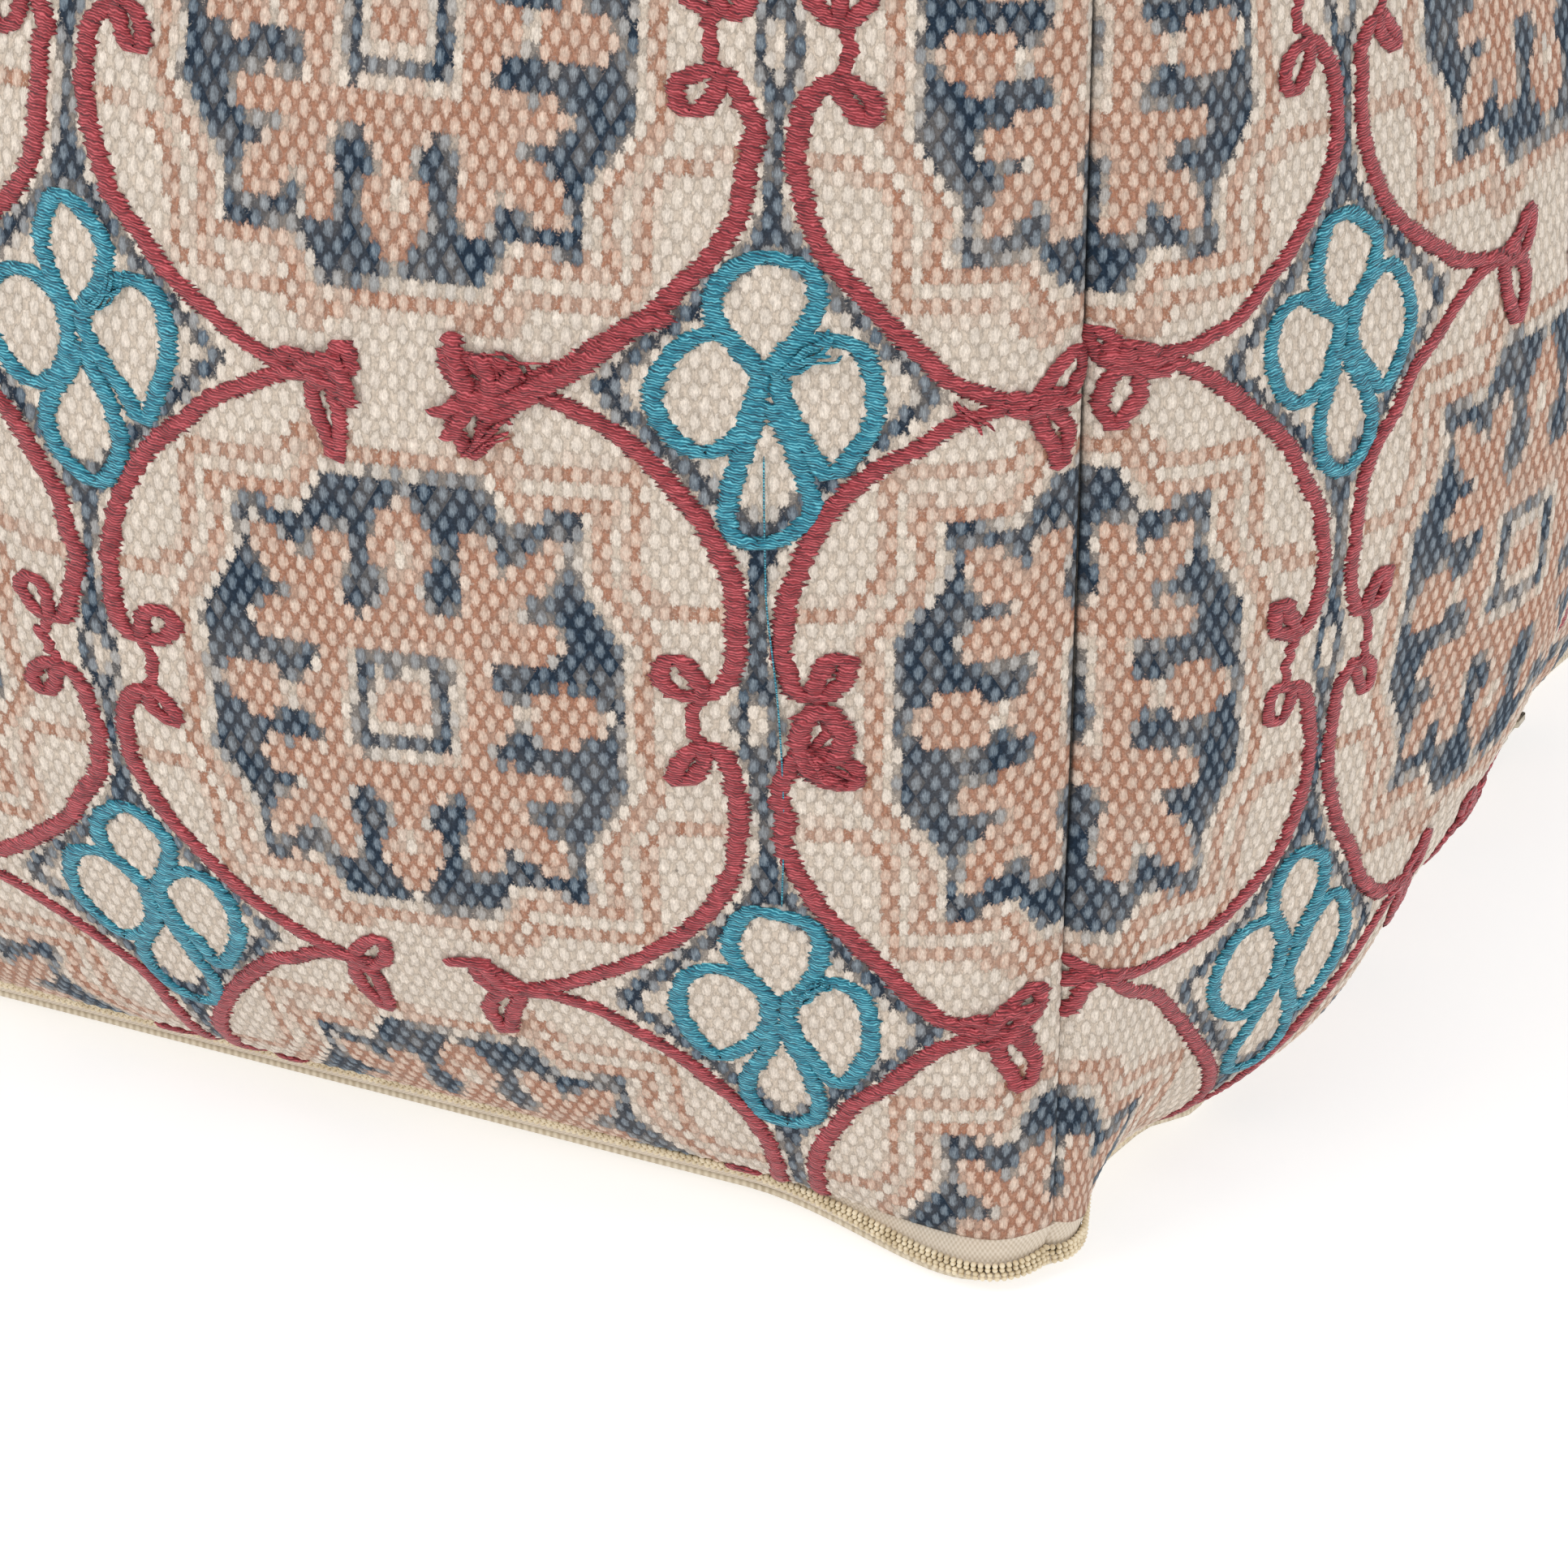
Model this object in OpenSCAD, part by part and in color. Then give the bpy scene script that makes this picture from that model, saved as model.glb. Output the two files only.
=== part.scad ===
// Stuffed cube ottoman: a sewn cover with a zip round three sides of its base,
// an inner bag and a loose fill. Front is towards -Y, the base rests on Z = 0.

/* [Cube] */
// Distance between opposite corner seams at mid height
seam_span = 374; // [330:2:420]
// Height of a side panel, from the zip fold to the top seam
side_h = 374; // [330:2:420]
// How far the middle of a side stands out from its corner seams
side_crown = 62; // [30:1:80]
// How far the middle of the top stands above its seams
top_crown = 46; // [20:1:60]
// How much further apart the corner seams are at mid height than at the top
corner_bow = 3; // [0:0.5:8]
// How much wider the cube spreads towards its base
base_spread = 8; // [0:1:16]
// How far the middle of each top seam is drawn in between its corners
top_tuck = 4; // [0:0.5:8]
// Radius of the rounded corner tips, seen from above
tip_r = 10; // [6:1:16]

/* [Ears] */
// How far each base corner juts out as a soft ear
ear_out = 10; // [4:1:16]
// How far an ear droops below the straight run of the zip
ear_drop = 0.7; // [0:0.1:0.8]
// How much tape shows beyond the fold at the tip of an ear
ear_tape = 4; // [0:0.5:6]

/* [Cloth] */
// Thickness of the printed cover cloth
cloth_t = 1.4; // [1:0.1:2]
// Depth of the seam allowance turned in at each edge
seam_turn = 6; // [4:0.5:9]
// Thickness of the inner bag's cloth
liner_t = 0.5; // [0.3:0.1:0.8]
// How far the inner bag's seams stay inside the cover's seams
liner_inset = 9; // [8:0.5:14]
// Space between the cover and the inner bag at the middle of a side
liner_gap = 0.4; // [0.3:0.1:0.8]
// Space between the inner bag and the fill
fill_gap = 0.3; // [0.2:0.1:0.6]
// Height of the bottom panel's edge above the floor
bottom_rise = 1.5; // [1.5:0.1:2.5]

/* [Zip] */
// Thickness of the woven zip tape
tape_t = 0.6; // [0.4:0.1:0.8]
// Height of one coil row
coil_h = 2.4; // [2:0.1:2.6]
// How far a coil row stands out from its tape
coil_d = 2.2; // [1.6:0.1:2.4]
// Half the slit between the two tapes, behind the coils
slit_half = 1; // [0.9:0.05:1.2]
// Height of the whole zip band, from bottom panel to side panel
band_h = 8.1; // [8.1:0.1:10]
// Distance of the closed end of the zip from the middle of the side
zip_end = 100; // [80:1:104]
// How far each coil row parts to pass the slider's wedge
coil_part = 1; // [0.9:0.05:1.1]

/* [Slider] */
// Length of the slider body along the chain
slider_l = 10.5; // [9:0.5:12]
// Half height of the slider at its closed end
slider_rear = 3.3; // [3.3:0.05:3.6]
// Half height of the slider at its mouth
slider_mouth = 4.1; // [4.05:0.05:4.4]
// Thickness of the slider's plates and rims
slider_t = 0.9; // [0.6:0.05:1]
// Thickness of the slider's side rims
rim_t = 0.45; // [0.3:0.05:0.5]
// Half width of the wedge that parts the coils
wedge_half = 0.8; // [0.6:0.05:0.85]
// Outer length of the bridge that holds the pull tab
bridge_l = 6.8; // [6:0.1:8]
// Height of the bridge above the slider's plate
bridge_h = 2.7; // [2.4:0.1:3.2]
// Width of the bridge
bridge_w = 1.6; // [1.2:0.1:2]
// Thickness of the bridge's bar
bridge_t = 1; // [0.8:0.05:1.1]

/* [Pull tab] */
// Length of the pull tab from its pin to its round end
tab_l = 22; // [16:1:30]
// Width of the pull tab
tab_w = 5.6; // [5:0.1:6.4]
// Thickness of the pull tab
tab_t = 1; // [0.8:0.05:1.1]
// Width of the two arms beside the bridge
tab_arm = 1.1; // [0.8:0.1:1.4]
// Width of the slot near the end of the tab
tab_slot = 2.2; // [1.6:0.1:3]

/* [Hidden] */

// Clearances between pieces that touch or slide
seat_gap = 0.05;
run_gap = 0.2;
pin_gap = 0.1;
overrun = 0.5;

// How full the crowns are: a share below one gives rounder shoulders
across_share = 0.67;
upright_share = 0.64;
top_share = 0.62;
// How far the fullest part of a side sinks below the middle
sag_share = 0.08;
// How fast the base spread and the ears fade upwards
spread_rate = 3.5;
ear_rate = 7;
tuck_rate = 4;
// Where along a side an ear begins and where it is full
ear_start_share = 0.62;
ear_full_share = 0.95;
// Where the bottom panel starts to rise towards its edge
rise_share = 0.71;
// How deep a top stop is beside a coil row
stop_share = 0.75;

// Steps across and up a cover panel, and a bag panel
across_n = 16;
up_n = 12;
bag_n = 8;
bag_up_n = 6;

// Heights of the zip band, from the floor up
bottom_top = bottom_rise + cloth_t;
edge_z = bottom_top + band_h;
top_z = edge_z + side_h;
chain_z = bottom_top + band_h / 2;

// Plan of the rounded corners
corner_cut = tip_r * (1 - sqrt(0.5));
corner_rate = ((seam_span / 2 + corner_cut) / corner_cut - 1) / 2;

// A skin is a list: how far its seams stay in, how deep its crowns stay in,
// 1 with ears or 0 without, the height of its flat bottom
function skin_inset(skin) = skin[0];
function skin_depth(skin) = skin[1];
function skin_ears(skin) = skin[2];
function skin_floor(skin) = skin[3];

cover_out = [0, 0, 1, 0];
cover_in = [cloth_t, cloth_t, 1, cloth_t];
cover_turn = [seam_turn, cloth_t, 1, cloth_t];
bag_depth = cloth_t + liner_gap;
bag_out = [liner_inset, bag_depth, 0, cloth_t + liner_gap];
bag_in = [liner_inset + liner_t, bag_depth + liner_t, 0, cloth_t + liner_gap + liner_t];
fill_in = liner_t + fill_gap;
fill_out = [liner_inset + fill_in, bag_depth + fill_in, 0, cloth_t + liner_gap + fill_in];

// Steps that crowd together towards both ends of a panel
function spaced(i, n) = sin(180 * i / n - 90);

// 0 on the straight run of the base, 1 at the ears
function ear(s) =
  let (w = min(1, max(0, (abs(s) - ear_start_share) / (ear_full_share - ear_start_share))))
  w * w * (3 - 2 * w);

function fade_down(t, rate) = pow((1 - t) / 2, rate);
function fade_up(t, rate) = pow((1 + t) / 2, rate);

// Distance of a skin's corner seam from the middle, at height share t
function corner_half(t, skin) =
  seam_span / 2 - corner_bow * t * t - skin_inset(skin)
  + skin_ears(skin) * (base_spread * fade_down(t, spread_rate) + ear_out * fade_down(t, ear_rate));

// Half width of the cube before its corner tips are rounded
function flat_half(t, skin) = corner_half(t, skin) + corner_cut;
function rounding(s) = corner_cut * pow(abs(s), corner_rate);

// Stand out of a side beyond the flat square, at share s across and t up
function side_out(s, t, skin) =
  (side_crown + skin_inset(skin) - skin_depth(skin)) * pow(max(0, 1 - s * s), across_share)
  * pow(max(0, 1 - t * t), upright_share) * (1 - sag_share * t)
  - skin_ears(skin) * ear_out * fade_down(t, ear_rate) * (1 - ear(s))
  - top_tuck * fade_up(t, tuck_rate) * (1 - pow(s, 4));

function side_drop(s, t, skin) = skin_ears(skin) * ear_drop * ear(s) * fade_down(t, ear_rate);

// A point of a side as along, out and up; z_inset lowers the top of inner skins
function side_point(s, t, skin, z_inset) = [
  s * (flat_half(t, skin) - rounding(s)),
  flat_half(t, skin) - rounding(s) + side_out(s, t, skin),
  edge_z + (t + 1) / 2 * (side_h - z_inset) - side_drop(s, t, skin)
];

function top_point(s, t, skin) =
  let (
    half = flat_half(1, skin) - corner_cut * pow(abs(s * t), corner_rate),
    crown = top_crown + skin_inset(skin) - skin_depth(skin)
  )
  [
    s * (half - top_tuck * (1 - pow(t, 4))),
    t * (half - top_tuck * (1 - pow(s, 4))),
    top_z - skin_inset(skin) + crown * pow(max(0, (1 - s * s) * (1 - t * t)), top_share)
  ];

function rise(s) =
  let (w = max(0, abs(s) - rise_share) / (1 - rise_share))
  w * w;

// A point of the bottom: flat in the middle, lifted to rim_z along its edge
function bottom_point(s, t, skin, rim_z) =
  let (
    half = flat_half(-1, skin) - corner_cut * pow(abs(s * t), corner_rate),
    lift = 1 - (1 - rise(s)) * (1 - rise(t)),
    out = skin_ears(skin) * ear_out,
    rim = rim_z - skin_ears(skin) * ear_drop * ear(s) * ear(t)
  )
  [
    s * (half - out * (1 - ear(t))),
    t * (half - out * (1 - ear(s))),
    skin_floor(skin) + lift * (rim - skin_floor(skin))
  ];

// Sides are numbered 0 front, 1 right, 2 back, 3 left
function turned(p, side) =
  side == 0 ? [p[0], -p[1], p[2]]
  : side == 1 ? [p[1], p[0], p[2]]
  : side == 2 ? [-p[0], p[1], p[2]]
  : [-p[1], -p[0], p[2]];

// Two triangles of a four-sided patch; the diagonal is mirrored about the middle
function patch(a, b, c, d, first) = first ? [[a, b, c], [a, c, d]] : [[a, b, d], [b, c, d]];
function first_half(i, last) = i < last / 2;

// Faces of a sheet with two skins of columns by rows points, and its rims
function sheet_faces(columns, rows) =
  let (n = columns * rows, across = columns - 1, up = rows - 1)
  concat(
    [for (j = [0 : up - 1]) for (i = [0 : across - 1])
      let (a = j * columns + i, b = a + columns, first = first_half(i, across) == first_half(j, up))
      each patch(a, b, b + 1, a + 1, first)],
    [for (j = [0 : up - 1]) for (i = [0 : across - 1])
      let (a = n + j * columns + i, b = a + columns, first = first_half(i, across) != first_half(j, up))
      each patch(a + 1, b + 1, b, a, first)],
    [for (i = [0 : across - 1]) each patch(i, i + 1, i + 1 + n, i + n, first_half(i, across))],
    [for (i = [0 : across - 1])
      let (a = n - columns + i) each patch(a + n, a + 1 + n, a + 1, a, !first_half(i, across))],
    [for (j = [0 : up - 1])
      let (a = j * columns, b = a + columns) each patch(a + n, b + n, b, a, !first_half(j, up))],
    [for (j = [0 : up - 1])
      let (a = j * columns + across, b = a + columns) each patch(a, b, b + n, a + n, first_half(j, up))]
  );

module sheet(outer, inner, columns, rows) {
  polyhedron(points = concat(outer, inner), faces = sheet_faces(columns, rows), convexity = 6);
}

// A cover side; its edges turn in by the seam allowance, and the back one,
// which has no zip, reaches down to the bottom panel
function cover_side_points(side, inner) = [
  for (j = [side == 2 ? -1 : 0 : up_n]) for (i = [0 : across_n])
    let (
      s = spaced(i, across_n),
      t = spaced(max(j, 0), up_n),
      low = j == (side == 2 ? -1 : 0),
      edge = low || j == up_n || i == 0 || i == across_n,
      skin = !inner ? cover_out : edge ? cover_turn : cover_in,
      z_inset = !inner ? 0 : j == up_n ? seam_turn : cloth_t,
      p = side_point(s, t, skin, z_inset)
    )
    turned(j < 0 ? [p[0], p[1], p[2] - band_h + seat_gap] : p, side)
];

module cover_side(side) {
  rows = up_n + (side == 2 ? 2 : 1);
  sheet(cover_side_points(side, false), cover_side_points(side, true), across_n + 1, rows);
}

function top_points(n, outer_skin, edge_skin) = [
  for (j = [0 : n]) for (i = [0 : n])
    let (edge = i == 0 || i == n || j == 0 || j == n)
    top_point(spaced(i, n), spaced(j, n), edge ? edge_skin : outer_skin)
];

// Columns run backwards here, so that the lower skin is the outer one
function bottom_points(n, skin, rim_z) = [
  for (j = [0 : n]) for (i = [n : -1 : 0]) bottom_point(spaced(i, n), spaced(j, n), skin, rim_z)
];

module top_panel() {
  color("#cdbfae")
    sheet(top_points(across_n, cover_out, cover_out), top_points(across_n, cover_in, cover_turn),
      across_n + 1, across_n + 1);
}

module front_panel() { color("#c8b9a8") cover_side(0); }
module right_panel() { color("#bfae9c") cover_side(1); }
module back_panel() { color("#c8b9a8") cover_side(2); }
module left_panel() { color("#bfae9c") cover_side(3); }

module bottom_panel() {
  lower = bottom_points(across_n, cover_out, bottom_rise);
  upper = [for (p = lower) [p[0], p[1], p[2] + cloth_t]];
  color("#ded3c0") sheet(lower, upper, across_n + 1, across_n + 1);
}

// The inner bag is six plain panels of thin cloth
function bag_side_points(side, skin) = [
  for (j = [0 : bag_up_n]) for (i = [0 : bag_n])
    turned(side_point(spaced(i, bag_n), spaced(j, bag_up_n), skin, skin_inset(skin)), side)
];

module bag_side(side) {
  color("#e9e4da")
    sheet(bag_side_points(side, bag_out), bag_side_points(side, bag_in), bag_n + 1, bag_up_n + 1);
}

module liner_front() { bag_side(0); }
module liner_right() { bag_side(1); }
module liner_back() { bag_side(2); }
module liner_left() { bag_side(3); }

module liner_top() {
  color("#e9e4da")
    sheet(top_points(bag_n, bag_out, bag_out), top_points(bag_n, bag_in, bag_in), bag_n + 1, bag_n + 1);
}

module liner_bottom() {
  lower = bottom_points(bag_n, bag_out, edge_z);
  upper = bottom_points(bag_n, bag_in, edge_z);
  color("#e9e4da") sheet(lower, upper, bag_n + 1, bag_n + 1);
}

// The fill is one crowned block with the inner bag's form
function patch_faces(columns, rows, first) = [
  for (j = [0 : rows - 2]) for (i = [0 : columns - 2])
    let (a = first + j * columns + i, b = a + columns)
    each patch(a, b, b + 1, a + 1, first_half(i, columns - 1) == first_half(j, rows - 1))
];

module fill() {
  columns = bag_n + 1;
  rows = bag_up_n + 1;
  sides = [for (side = [0 : 3]) each bag_side_points(side, fill_out)];
  top_first = 4 * columns * rows;
  bottom_first = top_first + columns * columns;
  color("#f4f2ee")
    polyhedron(
      points = concat(sides, top_points(bag_n, fill_out, fill_out), bottom_points(bag_n, fill_out, edge_z)),
      faces = concat(
        [for (side = [0 : 3]) each patch_faces(columns, rows, side * columns * rows)],
        patch_faces(columns, columns, top_first),
        patch_faces(columns, columns, bottom_first)
      ),
      convexity = 6
    );
}

// A place on the zip line: share s along a side, out beyond the fold, height z.
// The tape shows at the two front ears, and is sewn in at the two back ones.
function shown_tape(side, s) = (side == 1 && s > 0) || (side == 3 && s < 0) ? 0 : ear_tape * ear(s);
function zip_point(side, s, out, z) =
  let (half = zip_half + out + (out > -seam_turn ? shown_tape(side, s) : 0) - rounding(s))
  turned([
    s * (abs(s) < ear_start_share ? zip_half : half),
    half - ear_out * (1 - ear(s)),
    z - ear_drop * ear(s)
  ], side);

// Faces of a bar whose rings have k points each
function bar_faces(rings, k) = concat(
  [for (r = [0 : rings - 2]) for (i = [0 : k - 1])
    let (a = r * k + i, b = r * k + (i + 1) % k) each [[a, a + k, b + k], [a, b + k, b]]],
  [[for (i = [0 : k - 1]) i]],
  [[for (i = [k - 1 : -1 : 0]) (rings - 1) * k + i]]
);

// Stations from the back left corner round the front to the back right corner
function tape_stations() = [
  for (side = [3, 0, 1]) for (i = [(side == 3 ? 0 : 1) : across_n]) [side, spaced(i, across_n)]
];

zip_half = flat_half(-1, cover_out);
zip_out = zip_half - ear_out;
part_l = slider_l / 2;

// The coils stop short of both back corners. At the slider they part in the
// first half of part_l, and stay apart beside its wedge for the second half.
function straight_share(y) = y / zip_half;
coil_shares = [for (i = [0 : across_n]) spaced(i, across_n)];
inner_shares = [for (s = coil_shares) if (s * zip_half < zip_end - part_l) s];
function coil_stations() = concat(
  [[3, -straight_share(zip_end), 0]],
  [for (i = [len(inner_shares) - 1 : -1 : 0]) [3, -inner_shares[i], 0]],
  [for (i = [1 : across_n]) [0, spaced(i, across_n), 0]],
  [for (i = [1 : len(inner_shares) - 1]) [1, inner_shares[i], 0]],
  [for (k = [0 : 2]) [1, straight_share(zip_end - part_l + k / 2 * part_l), min(1, k)]]
);

module bar(stations, profile) {
  polyhedron(
    points = [for (st = stations) for (p = profile) zip_point(st[0], st[1], p[0], p[1] + st[2])],
    faces = bar_faces(len(stations), len(profile)),
    convexity = 8
  );
}

// Upper tape: a sewn margin under the fold, then a leaf behind the coil
module zipper_tape_upper() {
  high = edge_z - seat_gap;
  profile = [
    [0, high], [0, chain_z + slit_half], [-tape_t, chain_z + slit_half],
    [-tape_t, high - tape_t], [-seam_turn, high - tape_t], [-seam_turn, high]
  ];
  color("#ece3cf") bar([for (st = tape_stations()) [st[0], st[1], 0]], profile);
}

module zipper_tape_lower() {
  low = bottom_top + seat_gap;
  profile = [
    [-seam_turn, low], [-seam_turn, low + tape_t], [-tape_t, low + tape_t],
    [-tape_t, chain_z - slit_half], [0, chain_z - slit_half], [0, low]
  ];
  color("#ece3cf") bar([for (st = tape_stations()) [st[0], st[1], 0]], profile);
}

// One coil row: a bar with eased corners on the outer face of its tape
function coil_profile(z) =
  let (ease = coil_d / 4, near = seat_gap, far = coil_d)
  [
    [near, z], [near, z + coil_h], [far - ease, z + coil_h], [far, z + coil_h - ease],
    [far, z + ease], [far - ease, z]
  ];

function parted(direction) = [for (st = coil_stations()) [st[0], st[1], direction * coil_part * st[2]]];

module zipper_coil_upper() { color("#c9b68c") bar(parted(1), coil_profile(chain_z + seat_gap)); }
module zipper_coil_lower() { color("#c9b68c") bar(parted(-1), coil_profile(chain_z - seat_gap - coil_h)); }

// The slider's own frame: X out of the side, Y towards the closed end, Z up
slider_y = zip_end - part_l;
plate_in = coil_d + run_gap;
plate_out = plate_in + slider_t;
pin_r = tab_t / 2 + pin_gap;
pin_x = plate_out + pin_gap + pin_r;

module at_slider() { translate([zip_out, slider_y, chain_z]) children(); }

// Extrudes an outline drawn as along and up, from one distance out to another
module plate(x0, x1) {
  translate([x0, 0, 0]) rotate([90, 0, 90]) linear_extrude(height = x1 - x0) children();
}

// Body outline: narrow at the closed end, wide at the mouth
module slider_outline(shrink) {
  ease = slider_t;
  rear = slider_rear - shrink;
  mouth = slider_mouth - shrink;
  polygon([
    [-part_l, -rear + ease], [-part_l + ease, -rear], [-ease, -rear], [part_l / 2 - ease, -mouth],
    [part_l - ease, -mouth], [part_l, -mouth + ease], [part_l, mouth - ease], [part_l - ease, mouth],
    [part_l / 2 - ease, mouth], [-ease, rear], [-part_l + ease, rear], [-part_l, rear - ease]
  ]);
}

// The channel that the two coil rows run through
module slider_channel() {
  rear = slider_rear - rim_t;
  mouth = slider_mouth - rim_t;
  polygon([
    [-part_l - overrun, -rear], [-slider_t, -rear], [part_l / 2 - slider_t, -mouth],
    [part_l + overrun, -mouth], [part_l + overrun, mouth], [part_l / 2 - slider_t, mouth],
    [-slider_t, rear], [-part_l - overrun, rear]
  ]);
}

module slider_wedge() {
  nose = part_l / 4;
  polygon([
    [nose, 0], [part_l / 2, wedge_half], [part_l, wedge_half],
    [part_l, -wedge_half], [part_l / 2, -wedge_half]
  ]);
}

module bridge_side() {
  half = bridge_l / 2;
  leg_h = bridge_h - bridge_t;
  opening_l = bridge_l - 2 * bridge_t;
  difference() {
    union() {
      translate([-half, 0]) square([bridge_l, leg_h]);
      translate([-half + bridge_t, 0]) square([opening_l, bridge_h]);
      for (end = [-1, 1]) translate([end * (half - bridge_t), leg_h]) circle(r = bridge_t, $fn = 32);
    }
    translate([-half + bridge_t, -overrun]) square([opening_l, leg_h + overrun]);
  }
}

module zipper_slider_body() {
  back_half = band_h / 2 - tape_t - run_gap - seat_gap;
  color("#b9b4a8") at_slider() {
    plate(plate_in, plate_out) slider_outline(0);
    difference() {
      plate(run_gap, plate_in) slider_outline(0);
      plate(run_gap - overrun, plate_in) slider_channel();
    }
    plate(-tape_t - run_gap - slider_t, plate_in) slider_wedge();
    plate(-tape_t - run_gap - slider_t, -tape_t - run_gap)
      translate([-part_l, -back_half]) square([slider_l, 2 * back_half]);
    translate([plate_out, 0, bridge_w / 2]) rotate([0, 90, 0]) rotate([0, 0, 90])
      rotate([90, 0, 0]) linear_extrude(height = bridge_w) bridge_side();
  }
}

module zipper_pull_tab() {
  window = bridge_l / 2 + bridge_h;
  inner = bridge_w / 2 + run_gap;
  arm_out = inner + tab_arm;
  neck = window + tab_arm;
  round_r = tab_w / 2;
  slot_r = tab_slot / 2;
  color("#b9b4a8") at_slider() {
    translate([pin_x, 0, -arm_out]) cylinder(h = 2 * arm_out, r = pin_r, $fn = 32);
    plate(pin_x - tab_t / 2, pin_x + tab_t / 2) difference() {
      union() {
        translate([-neck, -arm_out]) square([neck, 2 * arm_out]);
        translate([-tab_l + round_r, -round_r]) square([tab_l - round_r - window, tab_w]);
        translate([-tab_l + round_r, 0]) circle(r = round_r, $fn = 48);
      }
      translate([-window, -inner]) square([window, 2 * inner]);
      translate([-tab_l + round_r, 0]) circle(r = slot_r, $fn = 32);
      translate([-tab_l + round_r, -slot_r]) square([round_r, tab_slot]);
      translate([-tab_l + 2 * round_r, 0]) circle(r = slot_r, $fn = 32);
    }
  }
}

// Two small stops on the tapes, just past the ends of the parted coils
module zipper_top_stops() {
  stop_d = coil_d * stop_share;
  stop_l = coil_h;
  stop_h = coil_h - 2 * seat_gap;
  color("#b9b4a8") translate([zip_out + seat_gap, zip_end + pin_gap, chain_z])
    for (end = [-1, 1])
      translate([0, 0, end * (slit_half + stop_h / 2) - stop_h / 2]) cube([stop_d, stop_l, stop_h]);
}

// One clamp across both coil rows at the other end of the zip
module zipper_bottom_stop() {
  stop_l = coil_h;
  stop_h = 2 * (coil_h + seat_gap);
  color("#b9b4a8") translate([-zip_out - coil_d, zip_end + pin_gap, chain_z - stop_h / 2])
    cube([coil_d - seat_gap, stop_l, stop_h]);
}

top_panel();
front_panel();
right_panel();
back_panel();
left_panel();
bottom_panel();
zipper_tape_upper();
zipper_tape_lower();
zipper_coil_upper();
zipper_coil_lower();
zipper_slider_body();
zipper_pull_tab();
zipper_top_stops();
zipper_bottom_stop();
liner_top();
liner_front();
liner_right();
liner_back();
liner_left();
liner_bottom();
fill();
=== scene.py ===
# Looks of the stuffed cube ottoman: printed, embroidered cover, zip, inner bag and fill.
# Lengths below are in millimetres, and become metres when a mesh is made.
import math

import bpy
import numpy as np
from mathutils import Matrix


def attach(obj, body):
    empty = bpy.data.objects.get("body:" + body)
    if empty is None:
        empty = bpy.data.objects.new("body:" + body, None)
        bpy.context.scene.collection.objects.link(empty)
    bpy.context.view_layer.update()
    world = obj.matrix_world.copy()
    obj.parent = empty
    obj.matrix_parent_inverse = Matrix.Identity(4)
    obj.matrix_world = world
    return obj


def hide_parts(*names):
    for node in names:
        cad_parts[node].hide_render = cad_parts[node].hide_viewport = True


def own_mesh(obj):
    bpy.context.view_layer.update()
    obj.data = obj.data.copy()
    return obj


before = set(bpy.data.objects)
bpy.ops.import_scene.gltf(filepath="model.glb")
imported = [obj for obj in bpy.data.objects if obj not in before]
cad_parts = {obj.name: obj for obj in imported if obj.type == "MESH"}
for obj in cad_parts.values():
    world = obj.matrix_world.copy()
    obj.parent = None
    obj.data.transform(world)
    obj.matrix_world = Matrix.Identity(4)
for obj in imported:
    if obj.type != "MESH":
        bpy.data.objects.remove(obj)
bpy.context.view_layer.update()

# The cover's form, as it has settled round its stuffing
cube = {
    "half": 186.75, "height": 374.0, "sideCrown": 58.8, "topCrown": 46.0, "across": 0.85,
    "upperUp": 0.738, "lowerUp": 0.668, "sag": 0.024, "bow": 3.0, "spread": 8.244, "spreadRate": 1.52,
    "earOut": 6.77, "earRate": 5.2, "earStart": 0.6, "earFull": 0.92, "earDrop": 0.7,
    "tipLift": 4.6, "tipWidth": 12.2, "cornerCut": 6.0, "cornerRate": 7.7,
    "tuck": 4.0, "cut": 2.9289, "cutRate": 31.92, "edge": 11.0, "rise": 1.5, "band": 8.1,
    "riseShare": 0.71, "topUp": 0.62, "tipSpan": 200, "shelf": 0.05,
}
cloth = {"width": 406.0, "columns": 218, "rows": 126, "thick": 1.4, "turn": 6.0, "fineness": 361}
upward = np.array([0, 0, 1.0])
edgeZ = cube["edge"]
topZ = edgeZ + cube["height"]

# The right side's own bulges: share along, share up, millimetres out, size
bulges = [(-.85, -.93, -21.2, 1), (-.85, -.7, 1.5, 1), (-.85, -.35, 2.7, 1), (-.6, -.93, 27.9, 1),
          (-.6, -.7, -3.4, 1), (-.3, -.93, -10.5, 1), (-.3, -.7, 12.5, 1), (-.3, -.35, 3.0, 1),
          (.1, -.93, -10.1, 1), (.1, -.7, -10.7, 1), (.1, .1, 2.1, 1), (-.79, -.9, 7.4, .52)]
bulgeForm = {"wide": 0.24, "tall": 0.28, "hold": 0.35, "start": 60, "over": 110}
pinch = {"deep": 9.9, "at": -0.783, "wide": 0.118, "rate": 6.76, "fade": 10}


# Shares from -1 to 1, closer together at the ends
def shares(n):
    return np.sin(np.linspace(-math.pi / 2, math.pi / 2, n))


def smooth(x):
    w = np.clip(x, 0, 1)
    return w * w * (3 - 2 * w)


def ear(s):
    return smooth((np.abs(s) - cube["earStart"]) / (cube["earFull"] - cube["earStart"]))


def cornerHalf(t, inset, ears):
    down = (1 - t) / 2
    spread = cube["spread"] * down ** cube["spreadRate"] + cube["earOut"] * down ** cube["earRate"]
    return cube["half"] - cube["bow"] * t * t - inset + ears * spread


# How near to an ear's tip, from 0 to 1
def tipShare(s, wide):
    return np.exp(-((1 - np.abs(s)) * cube["tipSpan"] / wide) ** 2)


# How far the cloth's low edge is lifted along an ear
def earEdge(s):
    return cube["tipLift"] * tipShare(s, cube["tipWidth"]) - cube["earDrop"] * ear(s)


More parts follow.
